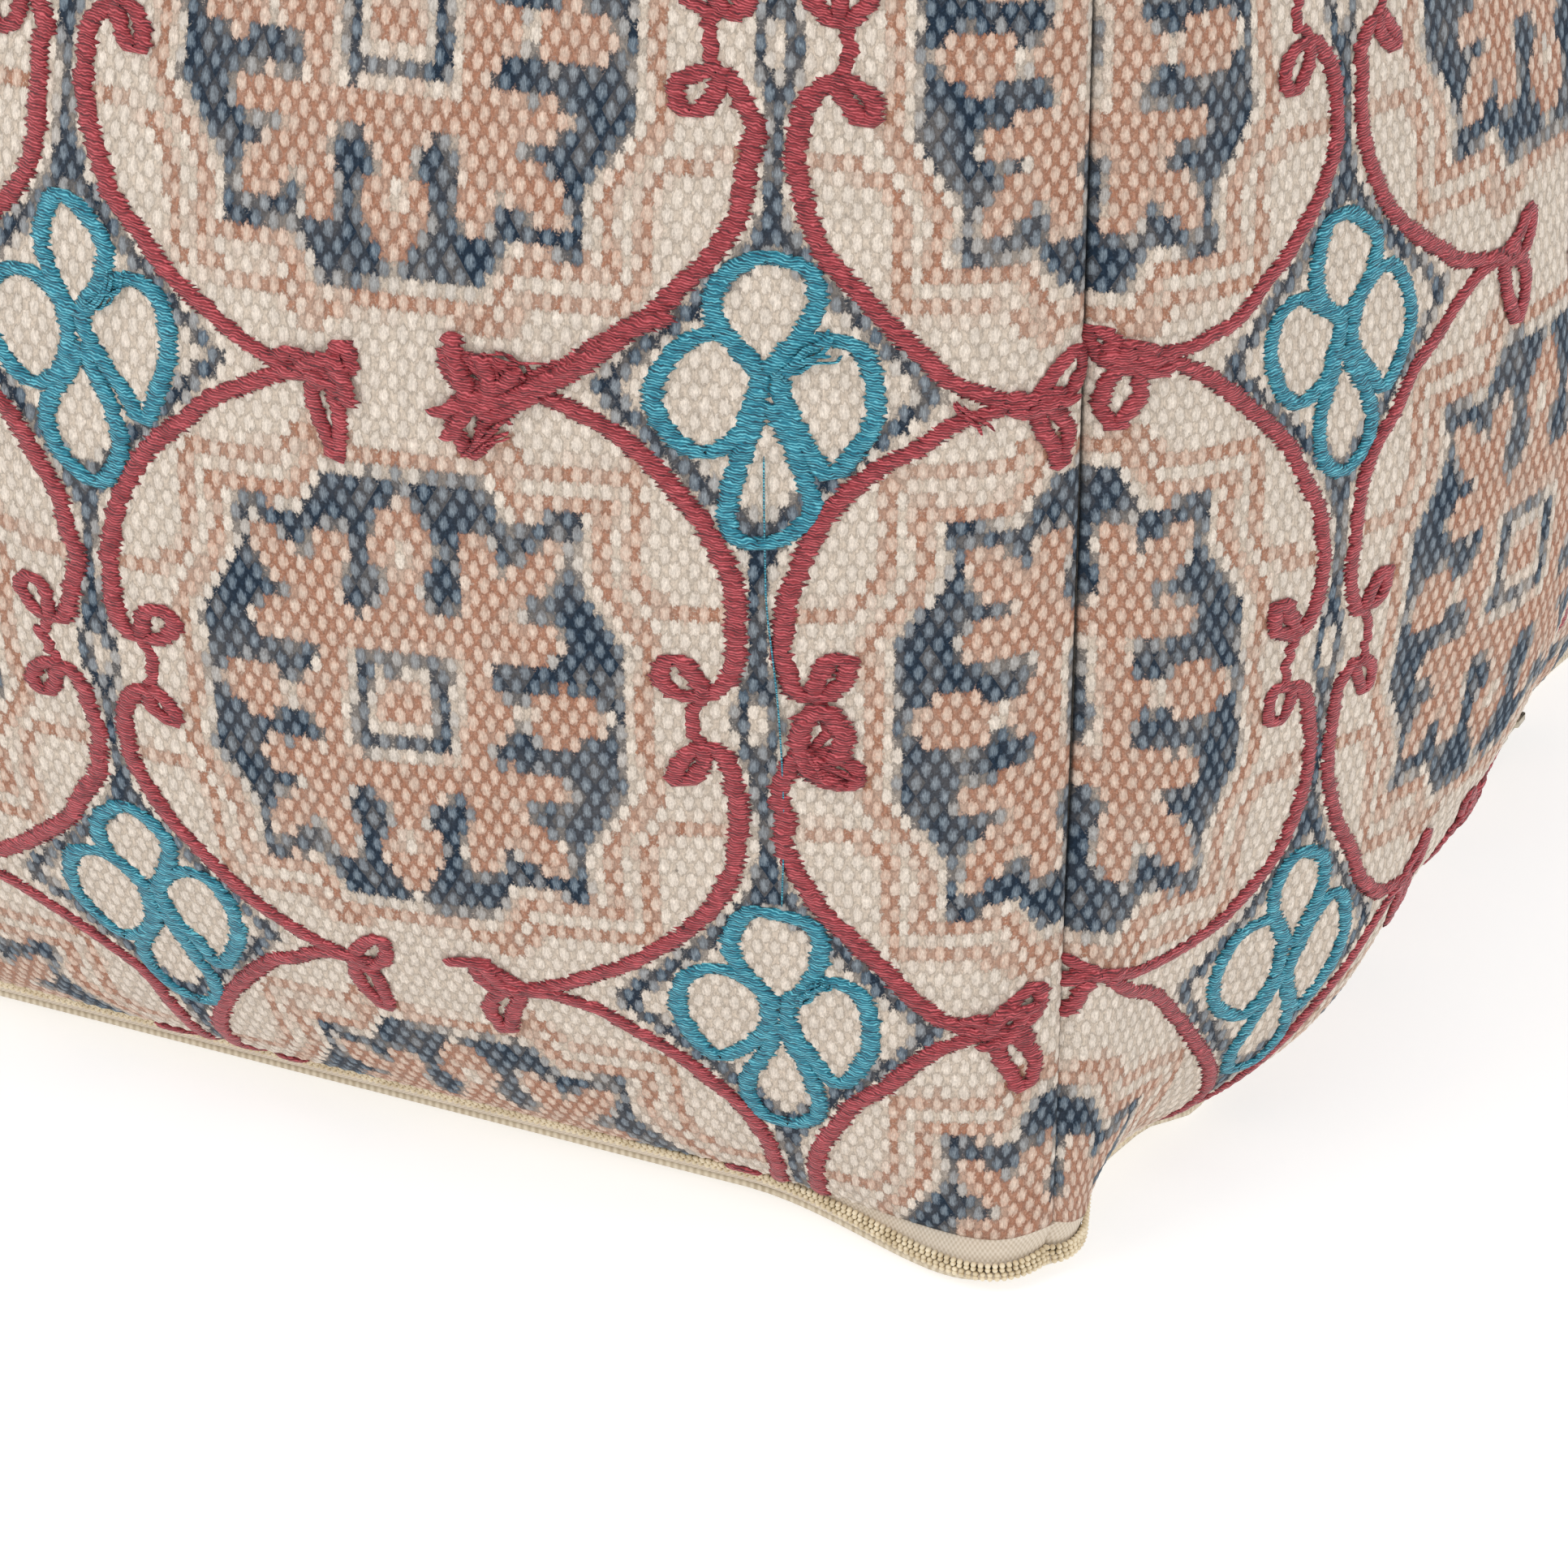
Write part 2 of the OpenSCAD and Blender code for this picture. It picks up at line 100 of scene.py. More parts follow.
# Share from front to back, along the right side or the left
def backShare(side, s):
    return s if side == 1 else -s


def cornerRound(s, t, ears):
    down = (1 - t) / 2
    return (cube["cut"] * np.abs(s) ** cube["cutRate"]
            + ears * cube["cornerCut"] * np.abs(s) ** cube["cornerRate"] * down ** cube["earRate"])


# Along the side, out from the middle, up
def sidePoint(s, t, inset=0.0, depth=0.0, ears=1.0, zInset=0.0):
    down = (1 - t) / 2
    half = cornerHalf(t, inset, ears) + cube["cut"] - cornerRound(s, t, ears)
    crown = (cube["sideCrown"] + inset - depth) * np.clip(1 - s * s, 0, 1) ** cube["across"]
    rate = np.where(t < 0, cube["lowerUp"], cube["upperUp"])
    out = crown * np.clip(1 - t * t, 0, 1) ** rate * (1 - cube["sag"] * t)
    out = out - ears * cube["earOut"] * down ** cube["earRate"] * (1 - ear(s))
    out = out - cube["tuck"] * ((1 + t) / 2) ** 4 * (1 - s ** 4)
    z = edgeZ + (t + 1) / 2 * (cube["height"] - zInset) + ears * earEdge(s) * down ** cube["earRate"]
    return s * half, half + out, z


def topPoint(s, t, inset=0.0, depth=0.0, ears=1.0):
    half = cornerHalf(1.0, inset, ears) + cube["cut"] * (1 - np.abs(s * t) ** cube["cutRate"])
    crown = cube["topCrown"] + inset - depth
    x = s * (half - cube["tuck"] * (1 - t ** 4))
    y = t * (half - cube["tuck"] * (1 - s ** 4))
    z = topZ - inset + crown * np.clip((1 - s * s) * (1 - t * t), 0, 1) ** cube["topUp"]
    return x, y, z


# Where the zip's band turns under, from 0 to 1: not at the ears, the slider or the stops
def tilt(side, s):
    if side == 2:
        return 0.0 * s
    under = 1 - ear(s)
    if side == 0:
        return under
    start, over = zipForm["turns"][side]
    return under * smooth((start - backShare(side, s) * cube["half"]) / over)


def bottomPoint(s, t, floor, rim, inset=0.0, ears=1.0):
    def rise(x):
        return (np.clip(np.abs(x) - cube["riseShare"], 0, 1) / (1 - cube["riseShare"])) ** 2

    corner = np.abs(s * t)
    half = cornerHalf(-1.0, inset, ears) + cube["cut"] * (1 - corner ** cube["cutRate"])
    half = half - ears * cube["cornerCut"] * corner ** cube["cornerRate"]
    out = ears * cube["earOut"]
    lift = 1 - (1 - rise(s)) * (1 - rise(t))
    atX = np.where(s > 0, tilt(1, t), tilt(3, -t))
    atY = np.where(t < 0, tilt(0, s), 0)
    under = ears * band["under"]
    edge = rim + ears * band["lift"] * (np.abs(s) ** 8 * atX + np.abs(t) ** 8 * atY)
    slopeX = ears * np.where(s > 0, earSlope(1, t), earSlope(3, -t))
    slopeY = ears * np.where(t < 0, earSlope(0, s), 0)
    x = s * (half - out * (1 - ear(t)) - under * atX + slopeX * np.abs(s) ** 6)
    y = t * (half - out * (1 - ear(s)) - under * atY + slopeY * np.abs(t) ** 6)
    return x, y, floor + lift * (edge - floor)


# How far the zip's band turns under the straight sides, and what that moves
band = {"turn": math.radians(36)}
band["under"] = (cube["band"] - cube["shelf"]) * math.sin(band["turn"])
band["lift"] = (cube["band"] - cube["shelf"]) * (1 - math.cos(band["turn"]))


# The zip's own form. turns: how far behind the middle of the right and left sides the band starts
# to turn under, and over what length towards the front
zipForm = {
    "chain": 2.9 + 4.05, "slit": 1.0, "tape": 0.6, "shown": 3.0, "pitch": 1.5, "raised": 2.3,
    "lowered": 1.5, "inFront": 3.8, "inSide": 1.2, "tipWide": 14.0,
    "end": 100.0, "part": 1.0, "sliderHalf": 5.25, "runEnd": -103.0, "runKeep": 0.62, "low": 2.95,
    "sewnFrom": 3, "sewnSlit": 0.05, "beads": ((0.52, 0.95), (1.45, 1.0)), "bead": (0.66, 0.8, 0.55),
    "beadGap": 0.03, "stagger": 0.375, "drift": 0.12, "tiltIn": 0.45, "look": 0.004,
    "turns": {1: (-106, 16), 3: (56, 50)}, "slopeOver": 4, "hangOver": 5,
    "rowEdge": {"upper": 0.0094, "lower": 0.0045},
}
zipForm["half"] = float(cornerHalf(-1.0, 0.0, 1.0)) + cube["cut"]


# The middle of the coil: as built at the slider, tucked up on the runs, lower at the ears
def chainHeight(side, s):
    return (zipForm["chain"] + zipForm["raised"] * tilt(side, s)
            - zipForm["lowered"] * ear(s) * earShare(side, s))


# The zip stands out at the two front ears only, not at its ends by the back
def earShare(side, s):
    if side == 0:
        return 1.0 + 0 * s
    return np.where(backShare(side, s) < 0, 1.0, 0.0)


# How far the band stands out from the cloth's edge along an ear
def earSlope(side, s):
    tip = tipShare(s, zipForm["tipWide"])
    if side == 0:
        slope = zipForm["shown"] - (zipForm["shown"] + zipForm["inFront"]) * tip
    else:
        slope = -zipForm["inSide"] + (zipForm["inSide"] - zipForm["inFront"]) * tip
    return slope * ear(s) * earShare(side, s)


# The right side's own bulges and pinch, as a move of the space that it fills
def settled(p):
    x, y, z = p[..., 0], p[..., 1], p[..., 2]
    t = np.clip((z - edgeZ) / cube["height"] * 2 - 1, -1, 1)
    s = np.clip(y / (cornerHalf(t, 0, 1) + cube["cut"]), -1, 1)
    hold = np.sqrt(1 - s * s) * (1 - t * t) ** bulgeForm["hold"]
    move = 0.0
    for along, up, out, size in bulges:
        far = (((s - along) / (bulgeForm["wide"] * size)) ** 2
               + ((t - up) / (bulgeForm["tall"] * size)) ** 2)
        move = move + hold * out * np.exp(-far)
    low = np.exp(-((s - pinch["at"]) / pinch["wide"]) ** 2) * ((1 - t) / 2) ** pinch["rate"]
    move = move - pinch["deep"] * low * smooth((1 - np.abs(s)) * pinch["fade"])
    moved = p.copy()
    moved[..., 0] = x + move * smooth((x - bulgeForm["start"]) / bulgeForm["over"])
    return moved


def turned(along, out, z, side):
    x, y = [(along, -out), (out, along), (-along, out), (-out, -along)][side]
    return np.stack([x, y, z], -1)


def unit(v):
    return v / np.maximum(np.linalg.norm(v, axis=-1, keepdims=True), 1e-9)


def linear(colour):
    c = np.array(colour, float) / 255
    return tuple(np.where(c > 0.04045, ((c + 0.055) / 1.055) ** 2.4, c / 12.92)) + (1.0,)


def link(name, data):
    made = bpy.data.objects.new(name, data)
    bpy.context.collection.objects.link(made)
    return made


# A new object from points in millimetres and arrays of faces
def meshFrom(name, points, faceSets, material, smoothShading=True):
    mesh = bpy.data.meshes.new(name)
    faceSets = [np.asarray(f, np.int32) for f in faceSets if len(f)]
    loops = np.concatenate([f.ravel() for f in faceSets])
    sizes = np.concatenate([np.full(len(f), f.shape[1], np.int32) for f in faceSets])
    starts = np.concatenate([[0], np.cumsum(sizes)[:-1]]).astype(np.int32)
    mesh.vertices.add(len(points))
    mesh.vertices.foreach_set("co", (np.asarray(points, np.float32) / 1000).ravel())
    mesh.loops.add(len(loops))
    mesh.loops.foreach_set("vertex_index", loops)
    mesh.polygons.add(len(sizes))
    mesh.polygons.foreach_set("loop_start", starts)
    mesh.update(calc_edges=True)
    mesh.validate()
    mesh.polygons.foreach_set("use_smooth", np.full(len(mesh.polygons), smoothShading))
    mesh.materials.append(material)
    return link(name, mesh)


def attribute(piece, name, values, domain="FACE"):
    kind = "FLOAT" if values.ndim == 1 else "FLOAT_VECTOR"
    layer = piece.data.attributes.new(name, kind, domain)
    layer.data.foreach_set("value" if values.ndim == 1 else "vector", values.astype(np.float32).ravel())


# Soft uneven swells: a seeded sum of slow waves through space
class Waves:
    def __init__(self, seed, length, count=9):
        rng = np.random.default_rng(seed)
        self.turns = unit(rng.normal(size=(count, 3))) / length * rng.uniform(0.7, 1.5, (count, 1))
        self.phase = rng.uniform(0, 6.28, count)

    def at(self, p):
        total = np.zeros(p.shape[:-1])
        for k, phase in zip(self.turns, self.phase):
            total += np.sin(6.2832 * (p @ k) + phase)
        return total / math.sqrt(len(self.phase))


# The printed pattern
bare, rust, slate = range(3)
# One quarter of a repeat: across from the medallion's middle, up from its middle
pattern = {
    "repeat": 142.0, "allowance": 10.0, "step": 0.25,
    "frame": [(72, -1), (65.8, -1), (66.6, 4), (68.2, 9), (69.2, 15), (69.3, 26), (68.6, 34),
              (66.2, 40), (62.3, 45), (57, 50.5), (51, 57), (44, 64), (38, 69.5), (35.5, 72),
              (41, 72), (48, 65.3), (54.5, 59), (60, 53.6), (65, 48.4), (68.6, 44.6), (72, 41.5)],
    "neck": [(72, -1), (68.9, -1), (68.9, 1.5), (69.8, 5), (72, 7.5)],
    "outerLine": [(0, 55), (9, 55.2), (16.5, 57.5), (20.5, 52.5), (22.8, 47), (25, 45.8), (35, 45.8),
                  (42, 47), (41.6, 43), (40.4, 39), (40.4, 32.5), (42.3, 28), (46.5, 23),
                  (50.3, 17.5), (50.2, 11.5), (48.9, 6), (48.5, -1)],
    "petalLine": [(12.5, 57.5), (19, 60.8), (22.8, 57.6), (25, 54), (35, 53.2), (46, 53.4),
                  (47.6, 48.5), (47.2, 39), (47.5, 31), (51.5, 26), (57, 24), (66, 23.6)],
    "field": [(0, 51.3), (16.3, 51.8), (18.5, 48), (20.3, 44.5), (22, 41.6), (28, 42.3),
              (36.3, 44.8), (37, 41), (35.4, 35), (37, 29.5), (40, 25.5), (43.5, 20), (46, 16.3),
              (45.2, 11.5), (44.4, 7), (46, -1), (-1, -1), (-1, 51.3)],
    "star": [(-1, -1), (25, -1), (24.2, 2), (19.5, 4.8), (18.3, 7), (17.6, 12.8), (25, 13),
             (31.2, 13.6), (33.8, 17), (31, 20.6), (25, 20.2), (21.6, 22), (24.5, 24.4), (29, 27),
             (31.8, 31), (33.2, 38.5), (27.5, 36.3), (23.2, 33), (21, 29.4), (19, 33),
             (18.6, 38.6), (12.8, 38.6), (12.2, 33), (13.4, 28.5), (14.2, 24), (12.5, 20.6),
             (9.5, 19.6), (6.2, 21.4), (3.6, 24.5), (2.8, 29), (-1, 29)],
    "northBud": [(-1, 47.2), (1.5, 46.2), (4, 43), (6.2, 38.5), (6.6, 34.5), (5, 31), (3, 29.6),
                 (-1, 29.6)],
    "eastBud": [(26, -1), (26.3, 2.6), (29, 5.2), (33, 6.1), (37.5, 5.2), (41, 2.8), (42.3, -1)],
    "lineHalf": {"outerLine": 1.75, "petalLine": 1.6},
    "gaps": {"star": 1.0, "northBud": 0.6, "eastBud": 0.6},
    "holes": [(0, 33.5, 2.3, 3.8), (25.6, 0, 1.8, 3), (42.2, 0, 1.6, 2), (0, 47.5, 1.6, 1.6)],
    "boxes": [(13, 13.2, bare), (10.6, 11, slate), (7, 7.6, bare), (5.3, 4.8, rust)],
}


def inside(corners, x, y):
    result = np.zeros(x.shape, bool)
    for (x0, y0), (x1, y1) in zip(corners, corners[1:] + corners[:1]):
        if y0 == y1:
            continue
        crosses = (y0 > y) != (y1 > y)
        result ^= crosses & (x < (x1 - x0) * (y - y0) / (y1 - y0) + x0)
    return result


def nearLine(corners, x, y):
    best = np.full(x.shape, 1e9)
    for (x0, y0), (x1, y1) in zip(corners, corners[1:]):
        dx, dy = x1 - x0, y1 - y0
        f = np.clip(((x - x0) * dx + (y - y0) * dy) / (dx * dx + dy * dy), 0, 1)
        best = np.minimum(best, np.hypot(x - x0 - f * dx, y - y0 - f * dy))
    return best


# The ink on every spot of one quarter of a repeat
def paintRepeat():
    ticks = np.arange(0, pattern["repeat"] / 2 + 0.2, pattern["step"])
    x, y = np.meshgrid(ticks, ticks, indexing="ij")
    ink = np.zeros(x.shape, int)
    ink[inside(pattern["frame"], x, y)] = slate
    ink[inside(pattern["neck"], x, y)] = bare
    for key, half in pattern["lineHalf"].items():
        ink[nearLine(pattern[key], x, y) < half] = rust
    ink[inside(pattern["field"], x, y)] = slate
    for key, gap in pattern["gaps"].items():
        ink[nearLine(pattern[key][1:-1], x, y) < gap] = bare
        ink[inside(pattern[key], x, y)] = rust
    for cx, cy, rx, ry in pattern["holes"]:
        ink[((x - cx) / rx) ** 2 + ((y - cy) / ry) ** 2 < 1] = bare
    for rx, ry, value in pattern["boxes"]:
        ink[(x < rx) & (y < ry)] = value
    return ink


inkMap = paintRepeat()


def folded(u):
    half = pattern["repeat"] / 2
    return np.abs(np.mod(u + pattern["allowance"] + half, 2 * half) - half)


def inkAt(u, v):
    i = np.rint(folded(u) / pattern["step"]).astype(int)
    j = np.rint(folded(v) / pattern["step"]).astype(int)
    return inkMap[i, j]


# How far the print and stitching are pulled from their regular places, on the two seen sides:
# repeat across and up, then millimetres across and up
pulls = {
    0: [(1, 1, 2.3, -2.9), (1, 2, 2.4, -2.9), (.5, 1, 2.7, -1), (1.5, 1, -3, -1.6), (.5, 2, -.2, 1),
        (.5, 1.5, 1, 3.3), (1.5, 1.5, -3.5, -1.2), (.5, .5, -1.5, -3.9), (1.5, .5, -5, 5.7),
        (1, 1.5, 0, -1.4), (1, .5, 3.8, -1.7), (.1, .36, -.5, -5.8), (.14, .31, -.6, -6.2)],
    1: [(.5, 1.5, 1.7, .6), (.5, .5, 9.4, -7.7), (.5, 1, 2.8, 1.7), (1, 1, -3.7, 4), (.915, 1.5, -.6, 5.2),
        (.915, .5, -9.9, 5.6), (.106, .361, 2.6, -8.5)],
}
pullReach = 60.0
pullEase = 0.12


def pullWeights(side):
    spots = np.array(pulls[side])
    at = spots[:, :2] * pattern["repeat"] - pattern["allowance"]
    gap = np.linalg.norm(at[:, None] - at[None], axis=-1)
    kernel = np.exp(-(gap / pullReach) ** 2) + pullEase * np.eye(len(at))
    return at, np.linalg.solve(kernel, spots[:, 2:])


pullFits = {side: pullWeights(side) for side in pulls}


def pull(side, u, v):
    if side not in pullFits:
        return np.zeros_like(u), np.zeros_like(v)
    at, weights = pullFits[side]
    du = np.zeros_like(u)
    dv = np.zeros_like(v)
    for (a, b), (wu, wv) in zip(at, weights):
        near = np.exp(-((u - a) ** 2 + (v - b) ** 2) / pullReach ** 2)
        du = du + near * wu
        dv = dv + near * wv
    return du, dv


# Where the knots by the corner seam were really stitched: place, then millimetres across and up
knotPlaces = {0: [(9, 61, 6.9, -5.7), (9, 203, 2.7, -1.3)], 1: [(9, 61, -1.8, 2.4), (9, 203, 1.8, 5.5)]}
knotReach = 26.0


def stitchPull(side, u, v):
    du, dv = pull(side, u, v)
    for a, b, wu, wv in knotPlaces.get(side, []):
        atU, atV = pull(side, np.array([a]), np.array([b]))
        near = np.exp(-((u - a) ** 2 + (v - b) ** 2) / knotReach ** 2)
        du = du + near * (wu - atU)
        dv = dv + near * (wv - atV)
    return du, dv


# Flat cloth laid over the crowned form: places evenly spaced in cloth lengths, two a weave cell
def layCloth(side):
    turns = shares(cloth["fineness"])
    p = coverForm(side, *np.meshgrid(turns, turns, indexing="ij"))

    def lengths(axis):
        steps = np.linalg.norm(np.diff(p, axis=axis), axis=-1)
        run = np.cumsum(steps, axis=axis)
        run = np.concatenate([np.zeros_like(np.take(run, [0], axis)), run], axis=axis)
        return run / np.take(run, [-1], axis) * cloth["width"]

    across, up = lengths(0), lengths(1)
    us = np.linspace(0, cloth["width"], 2 * cloth["columns"] + 1)
    vs = np.linspace(0, cloth["width"], 2 * cloth["rows"] + 1)
    sAt = np.stack([np.interp(us, across[:, k], turns) for k in range(len(turns))], 1)
    vAt = np.stack([np.interp(sAt[:, k], turns, up[:, k]) for k in range(len(turns))], 1)
    sOut = np.empty((len(us), len(vs)))
    tOut = np.empty((len(us), len(vs)))
    for i in range(len(us)):
        tOut[i] = np.interp(vs, vAt[i], turns)
        sOut[i] = np.interp(tOut[i], turns, sAt[i])
    return us, vs, sOut, tOut


lowSwells = Waves(11, 150)
midSwells = Waves(12, 48)
softness = {"low": 0.9, "mid": 0.4, "fade": 30, "pucker": 0.25, "puckerIn": 5, "puckerWide": 7,
            "groove": 1.0, "grooveWide": 0.62, "ripple": (0.62, 1.7, 0.11, 0.6, 1.43)}
middleOfCube = np.array([0, 0, 200.0])


def coverForm(side, s, t):
    if side == 4:
        return np.stack(topPoint(s, t), -1)
    p = turned(*sidePoint(s, t), side)
    return settled(p) if side == 1 else p


# A panel's smooth surface by cloth coordinates: u across from its first edge, v up
class ClothPanel:
    def __init__(self, side, laid):
        self.side = side
        us, vs, s, t = laid
        p = coverForm(side, s, t)
        u, v = np.meshgrid(us, vs, indexing="ij")
        w = cloth["width"]
        du = np.minimum(u, w - u)
        dTop = w - v
        dEnd = np.minimum(v, dTop) if side == 4 else dTop
        away = np.minimum(du, np.minimum(v, dTop))
        fade = smooth(away / softness["fade"])
        normal = self.normals(p)
        lift = fade * (softness["low"] * lowSwells.at(p) + softness["mid"] * midSwells.at(p))
        quick, sway, slow, share, fine = softness["ripple"]
        for run, off in ((v, du), (u, dEnd)):
            ripple = np.sin(run * quick + sway * np.sin(run * slow) + side) + share * np.sin(run * fine)
            near = np.exp(-off / softness["puckerWide"]) * smooth(off / softness["puckerIn"])
            lift = lift + softness["pucker"] * ripple * near
        p = p + normal * lift[..., None]
        # the groove where two panels are sewn together, the same for both of them
        seamU, seamEnd = [softness["groove"] * np.exp(-(gap / softness["grooveWide"]) ** 2)
                          for gap in (du, dEnd)]
        sink = [seamU, seamEnd]
        sink.insert({0: 1, 2: 1, 4: 2}.get(side, 0), np.maximum(seamU, seamEnd))
        p = p - np.stack(sink, -1) / math.sqrt(2) * np.sign(p - middleOfCube)
        self.us, self.vs = us, vs
        self.points = p
        self.normal = self.normals(p)

    def normals(self, p):
        return unit(np.cross(np.gradient(p, axis=0), np.gradient(p, axis=1)))

    # Places on the cloth, h above it
    def at(self, u, v, h):
        x = np.clip(u / cloth["width"], 0, 1) * (len(self.us) - 1)
        y = np.clip(v / cloth["width"], 0, 1) * (len(self.vs) - 1)
        i = np.minimum(x.astype(int), len(self.us) - 2)
        j = np.minimum(y.astype(int), len(self.vs) - 2)
        fx = (x - i)[..., None]
        fy = (y - j)[..., None]
        total = 0
        for array, scale in ((self.points, 1.0), (self.normal, h)):
            value = (array[i, j] * (1 - fx) + array[i + 1, j] * fx) * (1 - fy)
            value = value + (array[i, j + 1] * (1 - fx) + array[i + 1, j + 1] * fx) * fy
            total = total + value * (scale if np.ndim(scale) == 0 else scale[..., None])
        return total

    # The print counts from the corner seam that the photograph shows
    def printU(self, u):
        return cloth["width"] - u if self.side == 0 else u


# For a cell's four triangles, the value of the nearest raised nub and of the nearest sunk thread
def nubAndGround(values, raised):
    wide = np.pad(values, 1, mode="edge")
    around = np.stack([wide[1:-1, :-2], wide[2:, 1:-1], wide[1:-1, 2:], wide[:-2, 1:-1]], -1)
    own = np.repeat(values[..., None], 4, -1)
    up = np.repeat(raised[..., None], 4, -1)
    return np.where(up, own, around), np.where(up, around, own)


# Walls from the rim of one grid of points to the same rim, k points later
def rimFaces(at, k):
    for x, y, outward in ((at[:-1, 0], at[1:, 0], False), (at[:-1, -1], at[1:, -1], True),
                          (at[0, :-1], at[0, 1:], True), (at[-1, :-1], at[-1, 1:], False)):
        yield np.stack([x, y, y + k, x + k] if outward else [x, x + k, y + k, y], 1)


weave = {
    "high": 0.3, "low": -0.2, "uneven": 0.03, "flatCells": 2, "flatStart": 0.3, "backRows": 3,
    "backMiddle": 1.35, "edgeDown": 0.4, "edgeThick": 0.1, "wander": 9, "fuzz": 0.3, "looks": (0.75, 1.25),
    "coverage": (1.35, 0.22, 0.09), "swap": 0.8,
}


# The panel's cell corners and middles with their normals; the back panel goes on down to the
# bottom panel, where the others have the zip
def weaveGrid(panel):
    vs = panel.vs[::2]
    corner, cornerN = panel.points[::2, ::2], panel.normal[::2, ::2]
    middle, middleN = panel.points[1::2, 1::2], panel.normal[1::2, 1::2]
    extra = weave["backRows"] if panel.side == 2 else 0
    if extra:
        drops = np.arange(extra, 0, -1)[None, :, None] * (cube["band"] - cube["shelf"]) / extra
        low = corner[:, :1] - drops * upward
        between = (corner[1:, :1] + corner[:-1, :1]) / 2
        corner = np.concatenate([low, corner], 1)
        cornerN = np.concatenate([np.repeat(cornerN[:, :1], extra, 1), cornerN], 1)
        middle = np.concatenate([between - (drops - weave["backMiddle"]) * upward, middle], 1)
        middleN = np.concatenate([np.repeat(middleN[:, :1], extra, 1), middleN], 1)
        vs = np.concatenate([-vs[1] * np.arange(extra, 0, -1), vs])
    return vs, corner, cornerN, middle, middleN, extra


# One cloth thickness in, with the edges turned in as seam allowance
def innerSkin(side, corner, cornerN):
    inner = corner - cornerN * cloth["thick"]
    turn = cloth["turn"]
    toMiddle = -np.sign(corner - middleOfCube)
    ring = np.zeros(corner.shape[:2], bool)
    ring[[0, -1], :] = True
    ring[:, [0, -1]] = True
    move = np.zeros(corner.shape)
    if side == 4:
        move[[0, -1], :, 0] = turn
        move[:, [0, -1], 1] = turn
        move[ring, 2] = turn
    else:
        along = 1 if side in (1, 3) else 0
        move[[0, -1], :, along] = turn
        move[ring, 1 - along] = turn
        move[:, -1, 2] = turn
        move[:, 0, 2] = 0 if side == 2 else -weave["edgeDown"]
    inner[ring] = (corner + toMiddle * move)[ring]
    if side != 4:
        inner[:, 0, 2] = corner[:, 0, 2] + (cloth["thick"] if side == 2 else weave["edgeThick"])
    return inner


# What the print puts on each cell: from 1, all rust, to -1, all slate
def printCells(panel, vs, rng):
    side = panel.side
    us = panel.us[::2]
    uc = panel.printU((us[1:] + us[:-1])[:, None] / 2 + 0 * vs[None, 1:])
    vc = (vs[1:] + vs[:-1])[None, :] / 2 + 0 * uc
    du, dv = pull(side, uc, vc)
    counts = np.zeros((3,) + uc.shape)
    wander = Waves(31 + side, weave["wander"])
    flat = np.stack([uc, vc, 0 * uc], -1)
    fuzzU = weave["fuzz"] * wander.at(flat)
    fuzzV = weave["fuzz"] * wander.at(flat + 77)
    x, y = weave["looks"]
    for lookU in (-x, 0, x):
        for lookV in (-y, 0, y):
            ink = inkAt(uc - du + lookU + fuzzU, vc - dv + lookV + fuzzV)
            for kind in (bare, rust, slate):
                counts[kind] += ink == kind
    gain, start, spread = weave["coverage"]
    printed = (counts[rust] + counts[slate]) / 9
    amount = smooth(printed * gain - start + rng.normal(0, spread, uc.shape))
    chance = rng.uniform(-weave["swap"], weave["swap"], uc.shape)
    return amount * np.where(counts[rust] + chance > counts[slate], 1, -1)


def makeCover(name, side, laid, material):
    panel = ClothPanel(side, laid)
    vs, corner, cornerN, middle, middleN, extra = weaveGrid(panel)
    nu, nv = middle.shape[:2]
    i, j = np.meshgrid(np.arange(nu), np.arange(nv), indexing="ij")
    raised = (i + j - extra) % 2 == 0
    rng = np.random.default_rng(40 + side)
    h = np.where(raised, weave["high"], weave["low"]) + rng.normal(0, weave["uneven"], raised.shape)
    fromEdge = np.minimum(np.minimum(i, nu - 1 - i), nv - 1 - j)
    middle = middle + middleN * (h * smooth(fromEdge / weave["flatCells"] + weave["flatStart"]))[..., None]
    inner = innerSkin(side, corner, cornerN)
    n0 = (nu + 1) * (nv + 1)
    k = n0 + nu * nv
    at = np.arange(n0).reshape(nu + 1, nv + 1)
    a, b, c, d = at[:-1, :-1].ravel(), at[1:, :-1].ravel(), at[1:, 1:].ravel(), at[:-1, 1:].ravel()
    m = np.arange(n0, k)
    tris = np.stack([np.stack(q, 1) for q in ((a, b, m), (b, c, m), (c, d, m), (d, a, m))], 1)
    quads = np.concatenate([np.stack([a + k, d + k, c + k, b + k], 1)] + list(rimFaces(at, k)))
    points = np.concatenate([corner.reshape(-1, 3), middle.reshape(-1, 3), inner.reshape(-1, 3)])
    piece = meshFrom(name, points, [tris.reshape(-1, 3), quads], material)
    signed = printCells(panel, vs, rng)
    top, low = nubAndGround(signed, raised)
    nubTone, _ = nubAndGround(rng.uniform(0, 1, signed.shape), raised)
    for key, values in (("topInk", top), ("lowInk", low), ("tone", nubTone)):
        attribute(piece, key, np.concatenate([values.reshape(-1), np.zeros(len(quads))]))
    gu, gv = np.meshgrid(np.arange(nu + 1), np.arange(nv + 1) - extra, indexing="ij")
    grid = np.stack([gu, gv, 0 * gu], -1).reshape(-1, 3).astype(float)
    centre = np.stack([i + 0.5, j - extra + 0.5, 0 * i], -1).reshape(-1, 3)
    attribute(piece, "weave", np.concatenate([grid, centre, grid]), "POINT")
    return piece, panel


